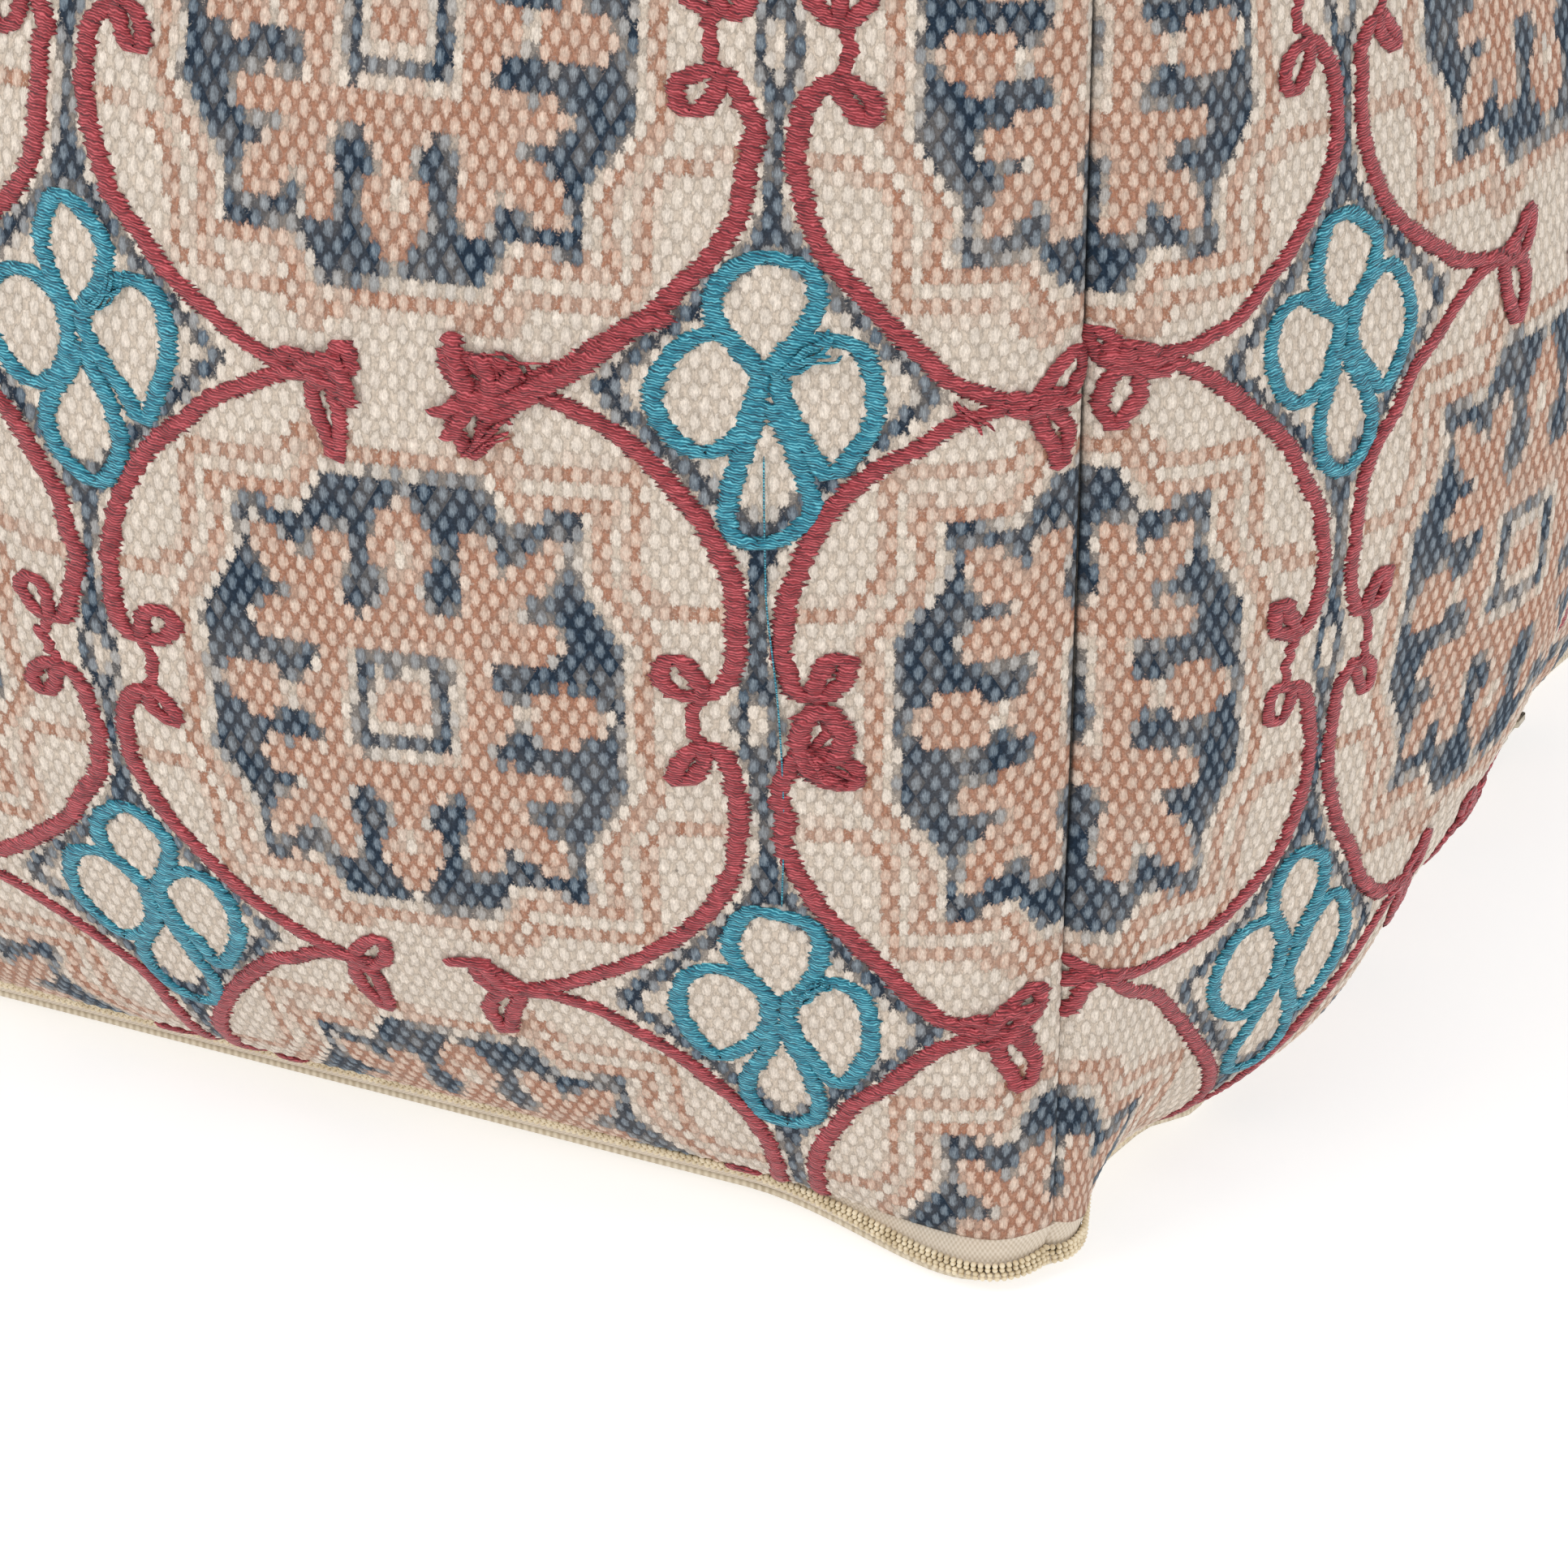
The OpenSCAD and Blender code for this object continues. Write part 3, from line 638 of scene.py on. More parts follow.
# Materials
# A node tree, with short words for the sums that a look is made of
class Nodes:
    def __init__(self, tree):
        self.tree = tree

    def feed(self, socket, value):
        if isinstance(value, bpy.types.NodeSocket):
            self.tree.links.new(value, socket)
        else:
            socket.default_value = value

    def put(self, kind, inputs, **settings):
        node = self.tree.nodes.new("ShaderNode" + kind)
        for key, value in settings.items():
            setattr(node, key, value)
        for key, value in inputs.items():
            self.feed(node.inputs[key], value)
        return node

    def maths(self, operation, a, b=0.0, c=0.0):
        return self.put("Math", {0: a, 1: b, 2: c}, operation=operation).outputs[0]

    def times(self, a, b):
        return self.maths("MULTIPLY", a, b)

    # a times b, with c added
    def line(self, a, b, c):
        return self.maths("MULTIPLY_ADD", a, b, c)

    def mixed(self, factor, a, b, blend="MIX"):
        return self.put("Mix", {0: factor, 6: a, 7: b}, data_type="RGBA", blend_type=blend).outputs[2]

    def ranged(self, value, low, high, toLow=0.0, toHigh=1.0, kind="SMOOTHSTEP"):
        inputs = {0: value, 1: low, 2: high, 3: toLow, 4: toHigh}
        return self.put("MapRange", inputs, interpolation_type=kind).outputs[0]

    def noise(self, vector, scale, detail, roughness):
        inputs = {"Vector": vector, "Scale": scale, "Detail": detail, "Roughness": roughness}
        return self.put("TexNoise", inputs).outputs[0]

    def scaled(self, vector, x, y):
        return self.put("VectorMath", {0: vector, 1: (x, y, 1.0)}, operation="MULTIPLY").outputs[0]


# A new material, whose colour, relief and finish are joined to its shader at the end
class Look(Nodes):
    def __init__(self, name):
        self.material = bpy.data.materials.new(name)
        self.material.use_nodes = True
        super().__init__(self.material.node_tree)

    def attribute(self, name, output="Vector"):
        return self.put("Attribute", {}, attribute_name=name).outputs[output]

    def ownPlace(self):
        return self.put("TexCoord", {}).outputs["Object"]

    # relief is the bump's strength and its depth in metres
    def finish(self, colour, height, relief, **surface):
        bump = self.put("Bump", {"Height": height, "Strength": relief[0], "Distance": relief[1]})
        shader = self.tree.nodes["Principled BSDF"]
        self.feed(shader.inputs["Base Color"], colour)
        self.feed(shader.inputs["Normal"], bump.outputs[0])
        sockets = {"rough": "Roughness", "shine": "Specular IOR Level", "sheen": "Sheen Weight",
                   "sheenRough": "Sheen Roughness", "metal": "Metallic"}
        for key, value in surface.items():
            self.feed(shader.inputs[sockets[key]], value)
        return self.material


# Colours of each ink on the cloth: the nub's middle, lighter as a painted highlight, its rim, and the sunk
# thread round it, darker as painted shade
inkColoursLitAndShaded = {
    "bare": ((223, 211, 198), (211, 198, 184), (197, 182, 166)),
    "rust": ((212, 191, 174), (192, 155, 135), (158, 111, 88)),
    "slate": ((122, 135, 145), (48, 65, 82), (25, 39, 54)),
}
# The crevice round each nub and the crevice of the seams are darkened by painted shade
printLook = {
    "nubWide": 0.6, "nubTall": 0.6, "ragged": 1.5, "creviceShade": 0.27, "grain": (0.72, 1.26),
    "fibreShade": (0.88, 1.1), "speckDark": 0.5, "seamShade": 0.3, "seamWide": 0.3, "seamRagged": 0.36,
    "rowToColumn": 1.72, "relief": (0.6, 0.0005),
}


def printedClothMaterial():
    n = Look("printedCloth")
    cells = n.attribute("weave")
    topInk, lowInk, tone = [n.attribute(key, "Fac") for key in ("topInk", "lowInk", "tone")]
    column, row, _ = n.put("SeparateXYZ", {0: cells}).outputs
    # distance from the middle of the nearest raised nub, in shares of its size
    slants = []
    for operation, start in (("ADD", 0.0), ("SUBTRACT", 0.5)):
        turn = n.line(n.maths(operation, column, row), 0.5, start)
        slants.append(n.maths("SUBTRACT", n.maths("FRACT", turn), 0.5))
    across = n.times(n.maths("ADD", *slants), 1 / printLook["nubWide"])
    up = n.times(n.maths("SUBTRACT", *slants), 1 / printLook["nubTall"])
    away = n.maths("SQRT", n.line(across, across, n.times(up, up)))
    fibres = n.noise(n.scaled(cells, 6.0, 1.1), 1.5, 3.0, 0.7)
    rough = n.noise(n.scaled(cells, 1.0, 0.8), 3.1, 2.0, 0.6)
    away = n.maths("ADD", away, n.line(rough, printLook["ragged"], -printLook["ragged"] / 2))
    # painted highlight on the middle of each raised nub, broken up by its fibres
    nubHighlight = n.times(n.ranged(away, 1.15, 0.2), n.ranged(fibres, 0.3, 0.62, 0.3, 1.0))
    # the sunk thread between the nubs, crossed by light squiggles of weft; its darker colour is painted
    # shade
    squiggle = n.noise(n.scaled(cells, 2.6, 5.0), 1.3, 2.0, 0.6)
    ground = n.times(n.ranged(away, 0.72, 1.2), n.ranged(squiggle, 0.7, 0.48, 0.4, 1.0))
    blotch = n.noise(cells, 0.13, 2.0, 0.6)
    load = n.times(n.ranged(blotch, 0.3, 0.6, 0.9, 1.0), n.ranged(tone, 0, 0.4, 0.86, 1))
    layers = []
    for place, amount in ((0, topInk), (1, topInk), (2, lowInk)):
        rustPart = n.times(n.maths("MAXIMUM", amount, 0.0), load)
        slatePart = n.times(n.maths("MAXIMUM", n.times(amount, -1.0), 0.0), load)
        colours = [linear(inkColoursLitAndShaded[ink][place]) for ink in ("bare", "rust", "slate")]
        layers.append(n.mixed(slatePart, n.mixed(rustPart, colours[0], colours[1]), colours[2]))
    # the nub's rim colour, the painted highlight on its middle, and the painted shade of the sunk thread
    # round it
    colour = n.mixed(ground, n.mixed(nubHighlight, layers[1], layers[0]), layers[2])
    # a thin ring of painted shade in the crevice round each nub
    rim = n.times(n.ranged(away, 0.85, 1.02), n.ranged(away, 1.3, 1.05))
    grain = n.noise(n.scaled(cells, 3.6, 2.4), 1.0, 3.0, 0.8)
    speck = n.noise(cells, 0.9, 1.0, 0.5)
    # painted shade in the crevice of the seams, uneven along its length
    edge = n.maths("MINIMUM", column, n.maths("SUBTRACT", float(cloth["columns"]), column))
    above = n.times(n.maths("SUBTRACT", float(cloth["rows"]), row), printLook["rowToColumn"])
    edge = n.maths("MINIMUM", edge, above)
    edge = n.maths("ADD", edge, n.line(rough, printLook["seamRagged"], -printLook["seamRagged"] / 2))
    # brightness: random tone per nub, fibres, grain and dark specks, times the painted shade round the nubs
    # and at the seams
    toneAndShade = n.line(tone, 0.12, 0.95)
    for part in (n.ranged(fibres, 0.3, 0.7, *printLook["fibreShade"], "LINEAR"),
                 n.line(rim, -printLook["creviceShade"], 1.03),
                 n.ranged(grain, 0.3, 0.7, *printLook["grain"], "LINEAR"),
                 n.ranged(speck, 0.79, 0.84, 1.0, printLook["speckDark"]),
                 n.ranged(edge, 0.02, printLook["seamWide"], printLook["seamShade"], 1.0)):
        toneAndShade = n.times(toneAndShade, part)
    toneShadeGrey = n.put("CombineColor", {0: toneAndShade, 1: toneAndShade, 2: toneAndShade}).outputs[0]
    height = n.line(fibres, 0.3, n.ranged(away, 1.15, 0.1))
    return n.finish(n.mixed(1.0, colour, toneShadeGrey, "MULTIPLY"), height, printLook["relief"],
                    rough=0.92, shine=0.2, sheen=0.05, sheenRough=0.5)


# Each thread's painted highlight, its own colour, and painted shade
threadLitAndShadedColours = {
    "raspberryThread": ((206, 92, 100), (147, 41, 49), (76, 10, 22)),
    "turquoiseThread": ((104, 194, 210), (12, 121, 144), (0, 52, 72)),
}
threadLook = {"slope": -0.16, "waver": 1.6, "period": 0.62, "strand": 0.17, "relief": (0.7, 0.0006)}


# Satin threads lying nearly level across the cloth, rising a little to the right, with a painted highlight
# on the strands' tops and painted shade between them
def threadMaterial(name):
    n = Look(name)
    high, mid, low = [linear(c) for c in threadLitAndShadedColours[name]]
    place = n.attribute("stitch")
    u, v, _ = n.put("SeparateXYZ", {0: place}).outputs
    level = n.line(n.noise(place, 0.45, 2.0, 0.5), threadLook["waver"], n.line(u, threadLook["slope"], v))
    strand = n.maths("SINE", n.times(level, 2 * math.pi / threadLook["period"]))
    along = n.put("CombineXYZ", {0: n.times(u, 0.22), 1: level, 2: 0.0}).outputs[0]
    bundle = n.noise(along, 1.25, 3.0, 0.65)
    mix = n.line(strand, threadLook["strand"], bundle)
    # painted shade between the strands, the thread's own colour, and a painted highlight on their tops
    colour = n.mixed(n.ranged(mix, 0.52, 0.72), n.mixed(n.ranged(mix, 0.22, 0.5), low, mid), high)
    return n.finish(colour, n.line(strand, 0.25, bundle), threadLook["relief"],
                    rough=0.46, shine=0.4, sheen=0.1)


# Plain woven cloth: threads over and under each other, by the piece's own cloth places, darker where they
# go under as painted shade, with uneven slubs and clouds of tone
def wovenMaterial(name, light, dark, pitch, rough=0.9):
    n = Look(name)
    place = n.attribute("place")
    parts = n.put("SeparateXYZ", {0: place}).outputs
    waves = [n.maths("SINE", n.times(parts[axis], math.pi / pitch)) for axis in (0, 1)]
    over = n.line(n.times(*waves), 0.5, 0.5)
    cloud = n.noise(place, 0.09, 3.0, 0.6)
    slub = n.noise(n.scaled(place, 0.12, 1.0), 0.9, 2.0, 0.6)
    # the threads going under are darkened as painted shade
    mix = n.line(slub, 0.3, n.line(over, 0.55, n.times(cloud, 0.25)))
    colour = n.mixed(n.ranged(mix, 0.2, 0.85), linear(dark), linear(light))
    return n.finish(colour, n.line(slub, 0.4, over), (0.6, 0.0002), rough=rough, shine=0.25, sheen=0.1)


def coilMaterial():
    n = Look("zipCoil")
    cloud = n.noise(n.ownPlace(), 260.0, 3.0, 0.6)
    colour = n.mixed(n.ranged(cloud, 0.3, 0.7), linear((206, 187, 152)), linear((238, 223, 193)))
    return n.finish(colour, cloud, (0.2, 0.0002), rough=0.35)


def metalMaterial():
    n = Look("zipMetal")
    place = n.ownPlace()
    cloud = n.noise(place, 320.0, 4.0, 0.6)
    brushed = n.noise(n.scaled(place, 1.0, 0.06), 2600.0, 2.0, 0.6)
    colour = n.mixed(n.ranged(cloud, 0.3, 0.7), linear((150, 140, 120)), linear((206, 198, 180)))
    rough = n.line(brushed, 0.25, n.ranged(cloud, 0.3, 0.8, 0.16, 0.34))
    return n.finish(colour, brushed, (0.15, 0.0001), rough=rough, metal=1.0)


def fillMaterial():
    n = Look("looseFibre")
    place = n.ownPlace()
    tufts = n.noise(place, 60.0, 5.0, 0.65)
    hairs = n.noise(place, 700.0, 4.0, 0.7)
    both = n.line(hairs, 0.4, n.times(tufts, 0.6))
    colour = n.mixed(n.ranged(both, 0.35, 0.6), linear((208, 205, 198)), linear((244, 242, 238)))
    return n.finish(colour, both, (0.8, 0.002), rough=0.95, sheen=0.3)


printedCloth = printedClothMaterial()
raspberryThread = threadMaterial("raspberryThread")
turquoiseThread = threadMaterial("turquoiseThread")
baseCanvas = wovenMaterial("baseCanvas", (226, 214, 192), (188, 172, 146), 0.9)
zipTape = wovenMaterial("zipTape", (222, 209, 192), (191, 176, 155), 0.55, 0.75)
bagCalico = wovenMaterial("bagCalico", (236, 230, 216), (206, 198, 180), 0.6)
zipCoil = coilMaterial()
zipMetal = metalMaterial()
looseFibre = fillMaterial()
print("materials made")

# Camera, fitted to the photograph
view = {
    "place": (0.526244, -1.060957, 0.579741), "lens": 120.974, "sensor": 36.0, "near": 0.01,
    "right": (0.906020, 0.422910, 0.016588), "up": (-0.202921, 0.399664, 0.893920),
    "back": (0.371417, -0.813275, 0.447920),
}


def makeCamera():
    data = bpy.data.cameras.new("camera")
    data.sensor_width = view["sensor"]
    data.sensor_fit = "HORIZONTAL"
    data.lens = view["lens"]
    data.clip_start = view["near"]
    turn = Matrix([view["right"], view["up"], view["back"]]).transposed().to_4x4()
    camera = link("camera", data)
    camera.matrix_world = Matrix.Translation(view["place"]) @ turn
    bpy.context.scene.camera = camera


makeCamera()
print("camera set")

# The cover
laidCloth = {side: layCloth(side) for side in (0, 1, 4)}
print("cloth laid over the form")

sideNames = ["front", "right", "back", "left"]
coverPanels = {}
for side, word in enumerate(sideNames + ["top"]):
    laid = laidCloth.get(side, laidCloth[0])
    piece, panel = makeCover(word + "_cover", side, laid, printedCloth)
    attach(piece, "root")
    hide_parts(word + "_panel")
    coverPanels[side] = panel
print("cover panels woven and printed")

# Embroidery
stitching = {
    "raspberry": {"half": 1.9, "flat": 1.45, "high": 0.95, "tooth": 0.85},
    "turquoise": {"half": 1.85, "flat": 1.4, "high": 0.9, "tooth": 0.7},
}
# A band's section from edge to edge and back beneath, its wobble, and its uneven width and height
bandForm = {
    "outs": [-1, -0.62, 0, 0.62, 1, 0.7, -0.7], "heights": [0.16, 0.8, 1.0, 0.8, 0.16, -0.45, -0.45],
    "spacing": 0.62, "wobble": 0.35, "clearSide": 0.4, "clearEnd": 0.6, "lean": 0.9,
    "widths": (0.94, 1.06), "rises": (0.88, 1.1), "tip": (0.45, 0.3), "tipHigh": 0.6, "levelMost": 0.2,
    "zigzag": 0.45, "levelTooth": 0.35, "narrowest": 0.3,
}
# How uneven the hand is: lines, leaves and petals, and how often a knot is sewn over again
hand = {"line": 0.35, "leaf": 0.3, "petal": 0.4, "leafSizes": (0.88, 1.08), "flowerTurn": 0.05,
        "flowerSizes": (0.96, 1.04), "again": 0.25, "againWide": 2.4}
neckLine = [(58.2, -1.5), (58.3, 1.5), (59, 4), (60.8, 6.4)]
curlLeaf = [(60.2, 6), (56.5, 6.8), (53.8, 9.4), (53, 12.2), (54.2, 14.4), (56.6, 14), (58.6, 11.8),
            (59.9, 8.8)]
upperLeaf = [(19, 0), (15.5, 3.4), (12.4, 6.1), (11, 6.2), (10.7, 4), (11.3, 1.5), (13.4, -0.6), (16, -1)]
lowerLeaf = [(18.6, -1), (18.2, -5.5), (17.2, -9.5), (15.2, -14), (13.8, -15.6), (12.6, -13.5),
             (11.6, -9.2), (12.6, -5.2), (15.2, -2)]
ogeeLine = [(60.2, 5.2), (63.6, 7.6), (65.8, 11.5), (66.6, 16.5), (66.8, 22), (66.3, 28), (64.5, 35),
            (60.5, 42.5), (55, 49.5), (48.5, 56), (41.5, 61.8), (34.5, 66), (28, 69), (22, 71)]
petals = [
    [(-2, 3), (-6, 9), (-12, 11.5), (-18, 8.5), (-20.5, 0), (-18.5, -8), (-12.5, -13), (-6.5, -10),
     (-3, -4)],
    [(2, 3), (6, 9), (12, 11.5), (18, 8.5), (20.5, 0), (18.5, -8), (11.5, -16), (6.5, -10), (3, -4)],
    [(0, 4), (-5, 8), (-8.3, 14), (-8, 20.5), (-4, 25.5), (1, 26.5), (6.5, 23), (8.3, 16.5), (5.5, 9)],
    [(0, -3), (-3.5, -9), (-6.5, -16), (-7.8, -23), (-5, -29), (0, -31), (5, -29.5), (8, -23.5),
     (6.5, -16), (3, -9)],
]


# A smooth line through the points, resampled evenly
def curved(points, closed):
    p = np.array(points, float)
    n = len(p)
    rows = []
    f = np.linspace(0, 1, 24, endpoint=False)[:, None]
    for k in range(n if closed else n - 1):
        if closed:
            a, b, c, d = p[k - 1], p[k], p[(k + 1) % n], p[(k + 2) % n]
        else:
            a, b, c, d = p[max(k - 1, 0)], p[k], p[k + 1], p[min(k + 2, n - 1)]
        rows.append(0.5 * (2 * b + (c - a) * f + (2 * a - 5 * b + 4 * c - d) * f ** 2
                           + (3 * b - a - 3 * c + d) * f ** 3))
    fine = np.concatenate(rows + [p[:1] if closed else p[-1:]])
    run = np.concatenate([[0], np.cumsum(np.linalg.norm(np.diff(fine, axis=0), axis=1))])
    ticks = np.linspace(0, run[-1], max(int(run[-1] / bandForm["spacing"]), 6) + 1)
    return np.stack([np.interp(ticks, run, fine[:, k]) for k in (0, 1)], 1)


# Collects domed bands of stitching on one panel
class Stitches:
    def __init__(self, panel, kind, seed):
        self.panel = panel
        self.form = stitching[kind]
        self.rng = np.random.default_rng(seed)
        self.points = []
        self.walls = []
        self.caps = []
        self.place = []
        self.count = 0

    # points in print places; a band domed over them, with saw-tooth edges
    def band(self, points, closed=False, size=1.0, lift=0.0):
        width = cloth["width"]
        line = curved(points, closed)
        wobble = self.rng.normal(0, 1, (4, 2)) * bandForm["wobble"]
        turns = np.linspace(0, 6.2832, len(line))[:, None]
        line = line + wobble[0] * np.sin(turns) + wobble[1] * (np.cos(2 * turns) - 1)
        line = line + np.stack(stitchPull(self.panel.side, line[:, 0], line[:, 1]), 1)
        keep = np.ones(len(line), bool)
        for axis, clear in ((0, bandForm["clearSide"]), (1, bandForm["clearEnd"])):
            keep &= (line[:, axis] > clear) & (line[:, axis] < width - clear)
        edges = np.flatnonzero(np.diff(np.concatenate([[0], keep.astype(int), [0]])))
        for start, end in zip(edges[::2], edges[1::2]):
            if end - start > 3:
                self.tube(line[start:end], size, lift, closed and end - start == len(line))

    def tube(self, line, size, lift, closed):
        form = self.form
        n = len(line)
        run = np.gradient(line, axis=0)
        if closed:
            run[0] = run[-1] = line[1] - line[-2]
        run = run / np.linalg.norm(run, axis=1, keepdims=True)
        across = np.stack([-run[:, 1], run[:, 0]], 1)
        upright = np.abs(across[:, 0])
        half = (form["flat"] + (form["half"] - form["flat"]) * upright) * size
        ends = np.minimum(np.arange(n), n - 1 - np.arange(n))
        tip, rate = bandForm["tip"]
        taper = np.ones(n) if closed else np.clip(tip + ends * rate, 0, 1)
        half = half * taper * self.rng.uniform(*bandForm["widths"], n)
        high = form["high"] * size * np.clip(taper, bandForm["tipHigh"], 1)
        high = high * self.rng.uniform(*bandForm["rises"], n)
        outs = np.array(bandForm["outs"])
        heights = np.array(bandForm["heights"])
        # the threads lie level, so each rung leans over as the line does, and ends in a tooth
        least = bandForm["levelMost"]
        steep = np.where(upright < least, least * np.sign(across[:, 0] + 1e-6), across[:, 0])
        lean = np.clip(run[:, 0] / steep, -bandForm["lean"], bandForm["lean"])
        rung = across + lean[:, None] * run
        reach = np.ones((n, len(outs)))
        for edge in (0, 4):
            teeth = self.rng.uniform(-0.5, 1, n) + bandForm["zigzag"] * np.where(np.arange(n) % 2, 1, -1)
            teeth = teeth * min(size, 1) ** 2 * form["tooth"]
            teeth = teeth * (bandForm["levelTooth"] + (1 - bandForm["levelTooth"]) * upright)
            reach[:, edge] += teeth / half.clip(bandForm["narrowest"]) * size
        u = line[:, :1] + rung[:, :1] * half[:, None] * outs * reach
        v = line[:, 1:] + rung[:, 1:] * half[:, None] * outs * reach
        h = np.where(heights > 0, heights * high[:, None], heights) + lift
        self.points.append(self.panel.at(self.panel.printU(u), v, h).reshape(-1, 3))
        self.place.append(np.stack([u, v, h], -1).reshape(-1, 3))
        ring = self.count + np.arange(n * len(outs)).reshape(n, -1)
        nxt = np.roll(ring, -1, axis=1)
        if closed:
            a, b, c, d = ring, nxt, np.roll(nxt, -1, axis=0), np.roll(ring, -1, axis=0)
        else:
            a, b, c, d = ring[:-1], nxt[:-1], nxt[1:], ring[1:]
            self.caps += [ring[0], ring[-1][::-1]]
        self.walls.append(np.stack([a, d, c, b], -1).reshape(-1, 4))
        self.count += ring.size

    def make(self, name, material):
        walls, caps = np.concatenate(self.walls), self.caps
        if self.panel.side == 0:
            walls, caps = walls[:, ::-1], [c[::-1] for c in caps]
        piece = meshFrom(name, np.concatenate(self.points), [walls, caps], material)
        attribute(piece, "stitch", np.concatenate(self.place), "POINT")
        return piece


# Places in the front's print: tangled overstitches, loose tufts and one long stray thread
strays = {
    "tangles": [([(113, 197), (106, 201), (99.4, 205.5), (90, 212), (80, 218.5)], 1.1, 0.9),
                ([(116, 199), (108, 202), (98, 207.5), (88, 214)], 0.75, 1.6),
                ([(121, 214), (120, 207), (117, 200), (111, 196)], 1.0, 1.0),
                ([(125, 197), (119, 199), (112, 203), (108, 207)], 0.85, 1.5),
                ([(122, 192), (117, 196), (113, 203), (116, 210)], 0.8, 1.7),
                ([(127, 66), (122, 68), (117, 64), (113, 60)], 0.9, 0.8),
                ([(46, 118), (51, 124), (53, 131), (49, 135), (45, 130), (47, 123)], 1.15, 0.7)],
    "wisps": [((114, 209), (107, 205), 9, 2.2), ((118, 190), (111, 194), 5, 1.6),
              ((52, 127), (45, 121), 6, 1.8), ((24, 203), (17, 198), 5, 1.5)],
    "tufts": [((58, 206), (50, 213), 9, 2.0), ((200, 208), (193, 214), 8, 1.8),
              ((57, 66), (52, 72), 6, 1.4), ((60, 340), (53, 346), 7, 1.8)],
    "hair": [(61, 189), (59.6, 170), (59, 160), (57.6, 145), (57.1, 132), (57.6, 110), (58.6, 90)],
}


def addStrays(lines, flowers):
    for points, size, lift in strays["tangles"]:
        lines.band(points, size=size, lift=lift)
    for stitches, key in ((lines, "wisps"), (flowers, "tufts")):
        rng = stitches.rng
        for start, end, count, spread in strays[key]:
            for _ in range(count):
                a = np.array(start) + rng.normal(0, spread * 0.4, 2)
                b = np.array(end) + rng.normal(0, spread, 2)
                mid = (a + b) / 2 + rng.normal(0, 1.1, 2)
                stitches.band([a, mid, b], size=rng.uniform(0.14, 0.3), lift=rng.uniform(0.6, 1.8))
    flowers.band(strays["hair"], size=0.09, lift=0.75)


def addLeaf(lines, points, cu, cv, sx, sy, size, bandSizes, lift):
    p = np.array(points)
    grow = size * lines.rng.uniform(*hand["leafSizes"], 2)
    p = p[0] + (p - p[0]) * grow + lines.rng.normal(0, hand["leaf"], p.shape)
    lines.band(p * (sx, sy) + (cu, cv), True, lines.rng.uniform(*bandSizes), lift)


# Turned towards the seam about its first point
def swung(points, degrees):
    c, s = math.cos(math.radians(degrees)), math.sin(math.radians(degrees))
    (x0, y0) = points[0]
    return [(x0 + c * (x - x0) + s * (y - y0), y0 - s * (x - x0) + c * (y - y0)) for x, y in points]


# A quarter of the raspberry ogee, with its neck and curl
def addOgee(lines, cu, cv, sx, sy):
    wander = lines.rng.normal(0, hand["line"], (len(ogeeLine), 2))
    lines.band([(cu + sx * x, cv + sy * y) for x, y in neckLine], size=0.68)
    lines.band([(cu + sx * x + a, cv + sy * y + b) for (x, y), (a, b) in zip(ogeeLine, wander)])
    addLeaf(lines, curlLeaf, cu, cv, sx, sy, 0.94, (0.82, 1.0), 0.25)


# A knot where two rows of medallions meet; one in four is sewn over again
def addKnot(lines, cu, cv, sx, low):
    rng = lines.rng
    addLeaf(lines, upperLeaf, cu, cv, sx, 1, 1.12, (0.84, 0.96), 0.35)
    addLeaf(lines, low, cu, cv, sx, 1, 1.02, (0.84, 0.96), 0.3)
    lines.band([(cu + sx * x, cv + y) for x, y in ((25, 0.4), (20, 0), (15, -0.6))], size=1.1, lift=0.3)
    if rng.uniform() < hand["again"]:
        for n in range(3):
            (au, av), (bu, bv), (eu, ev) = rng.normal(0, hand["againWide"], (3, 2))
            lines.band([(cu + sx * (24 - 2 * n) + au, cv + av), (cu + sx * 17 + bu, cv + bv),
                        (cu + sx * 12 + eu * 0.4, cv + ev * 1.4)], size=1.0, lift=0.5 + 0.35 * n)


# A turquoise flower of four petals
def addFlower(lines, flowers, fu, fv, mirror):
    turn = lines.rng.normal(0, hand["flowerTurn"])
    grow = lines.rng.uniform(*hand["flowerSizes"])
    c, s = math.cos(turn) * grow, math.sin(turn) * grow
    for petal in petals:
        spots = np.array(petal) + lines.rng.normal(0, hand["petal"], (len(petal), 2))
        flowers.band([(fu + mirror * (c * x - s * y), fv + s * x + c * y) for x, y in spots], True)


def embroider(panel):
    side = panel.side
    lines = Stitches(panel, "raspberry", 100 + side)
    flowers = Stitches(panel, "turquoise", 200 + side)
    repeat = pattern["repeat"]
    for r in range(4):
        for k in range(4):
            cu, cv = k * repeat - pattern["allowance"], r * repeat - pattern["allowance"]
            # the lowest knot by the right side's seam is sewn into it
            low = swung(lowerLeaf, 30) if side == 1 and k == r == 0 else lowerLeaf
            for sx in (-1, 1):
                for sy in (-1, 1):
                    addOgee(lines, cu, cv, sx, sy)
                if r < 3:
                    addKnot(lines, cu, cv + repeat / 2, sx, low)
            fu = (k + 0.5) * repeat - pattern["allowance"]
            addFlower(lines, flowers, fu, cv + repeat / 2, -1 if side == 0 else 1)
    if side == 0:
        addStrays(lines, flowers)
    return lines, flowers


for side, word in enumerate(sideNames + ["top"]):
    lines, flowers = embroider(coverPanels[side])
    for stitches, label, material in ((lines, "raspberry", raspberryThread),
                                      (flowers, "turquoise", turquoiseThread)):
        piece = stitches.make(word + "_" + label + "_stitching", material)
        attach(piece, "root")
print("embroidery stitched")


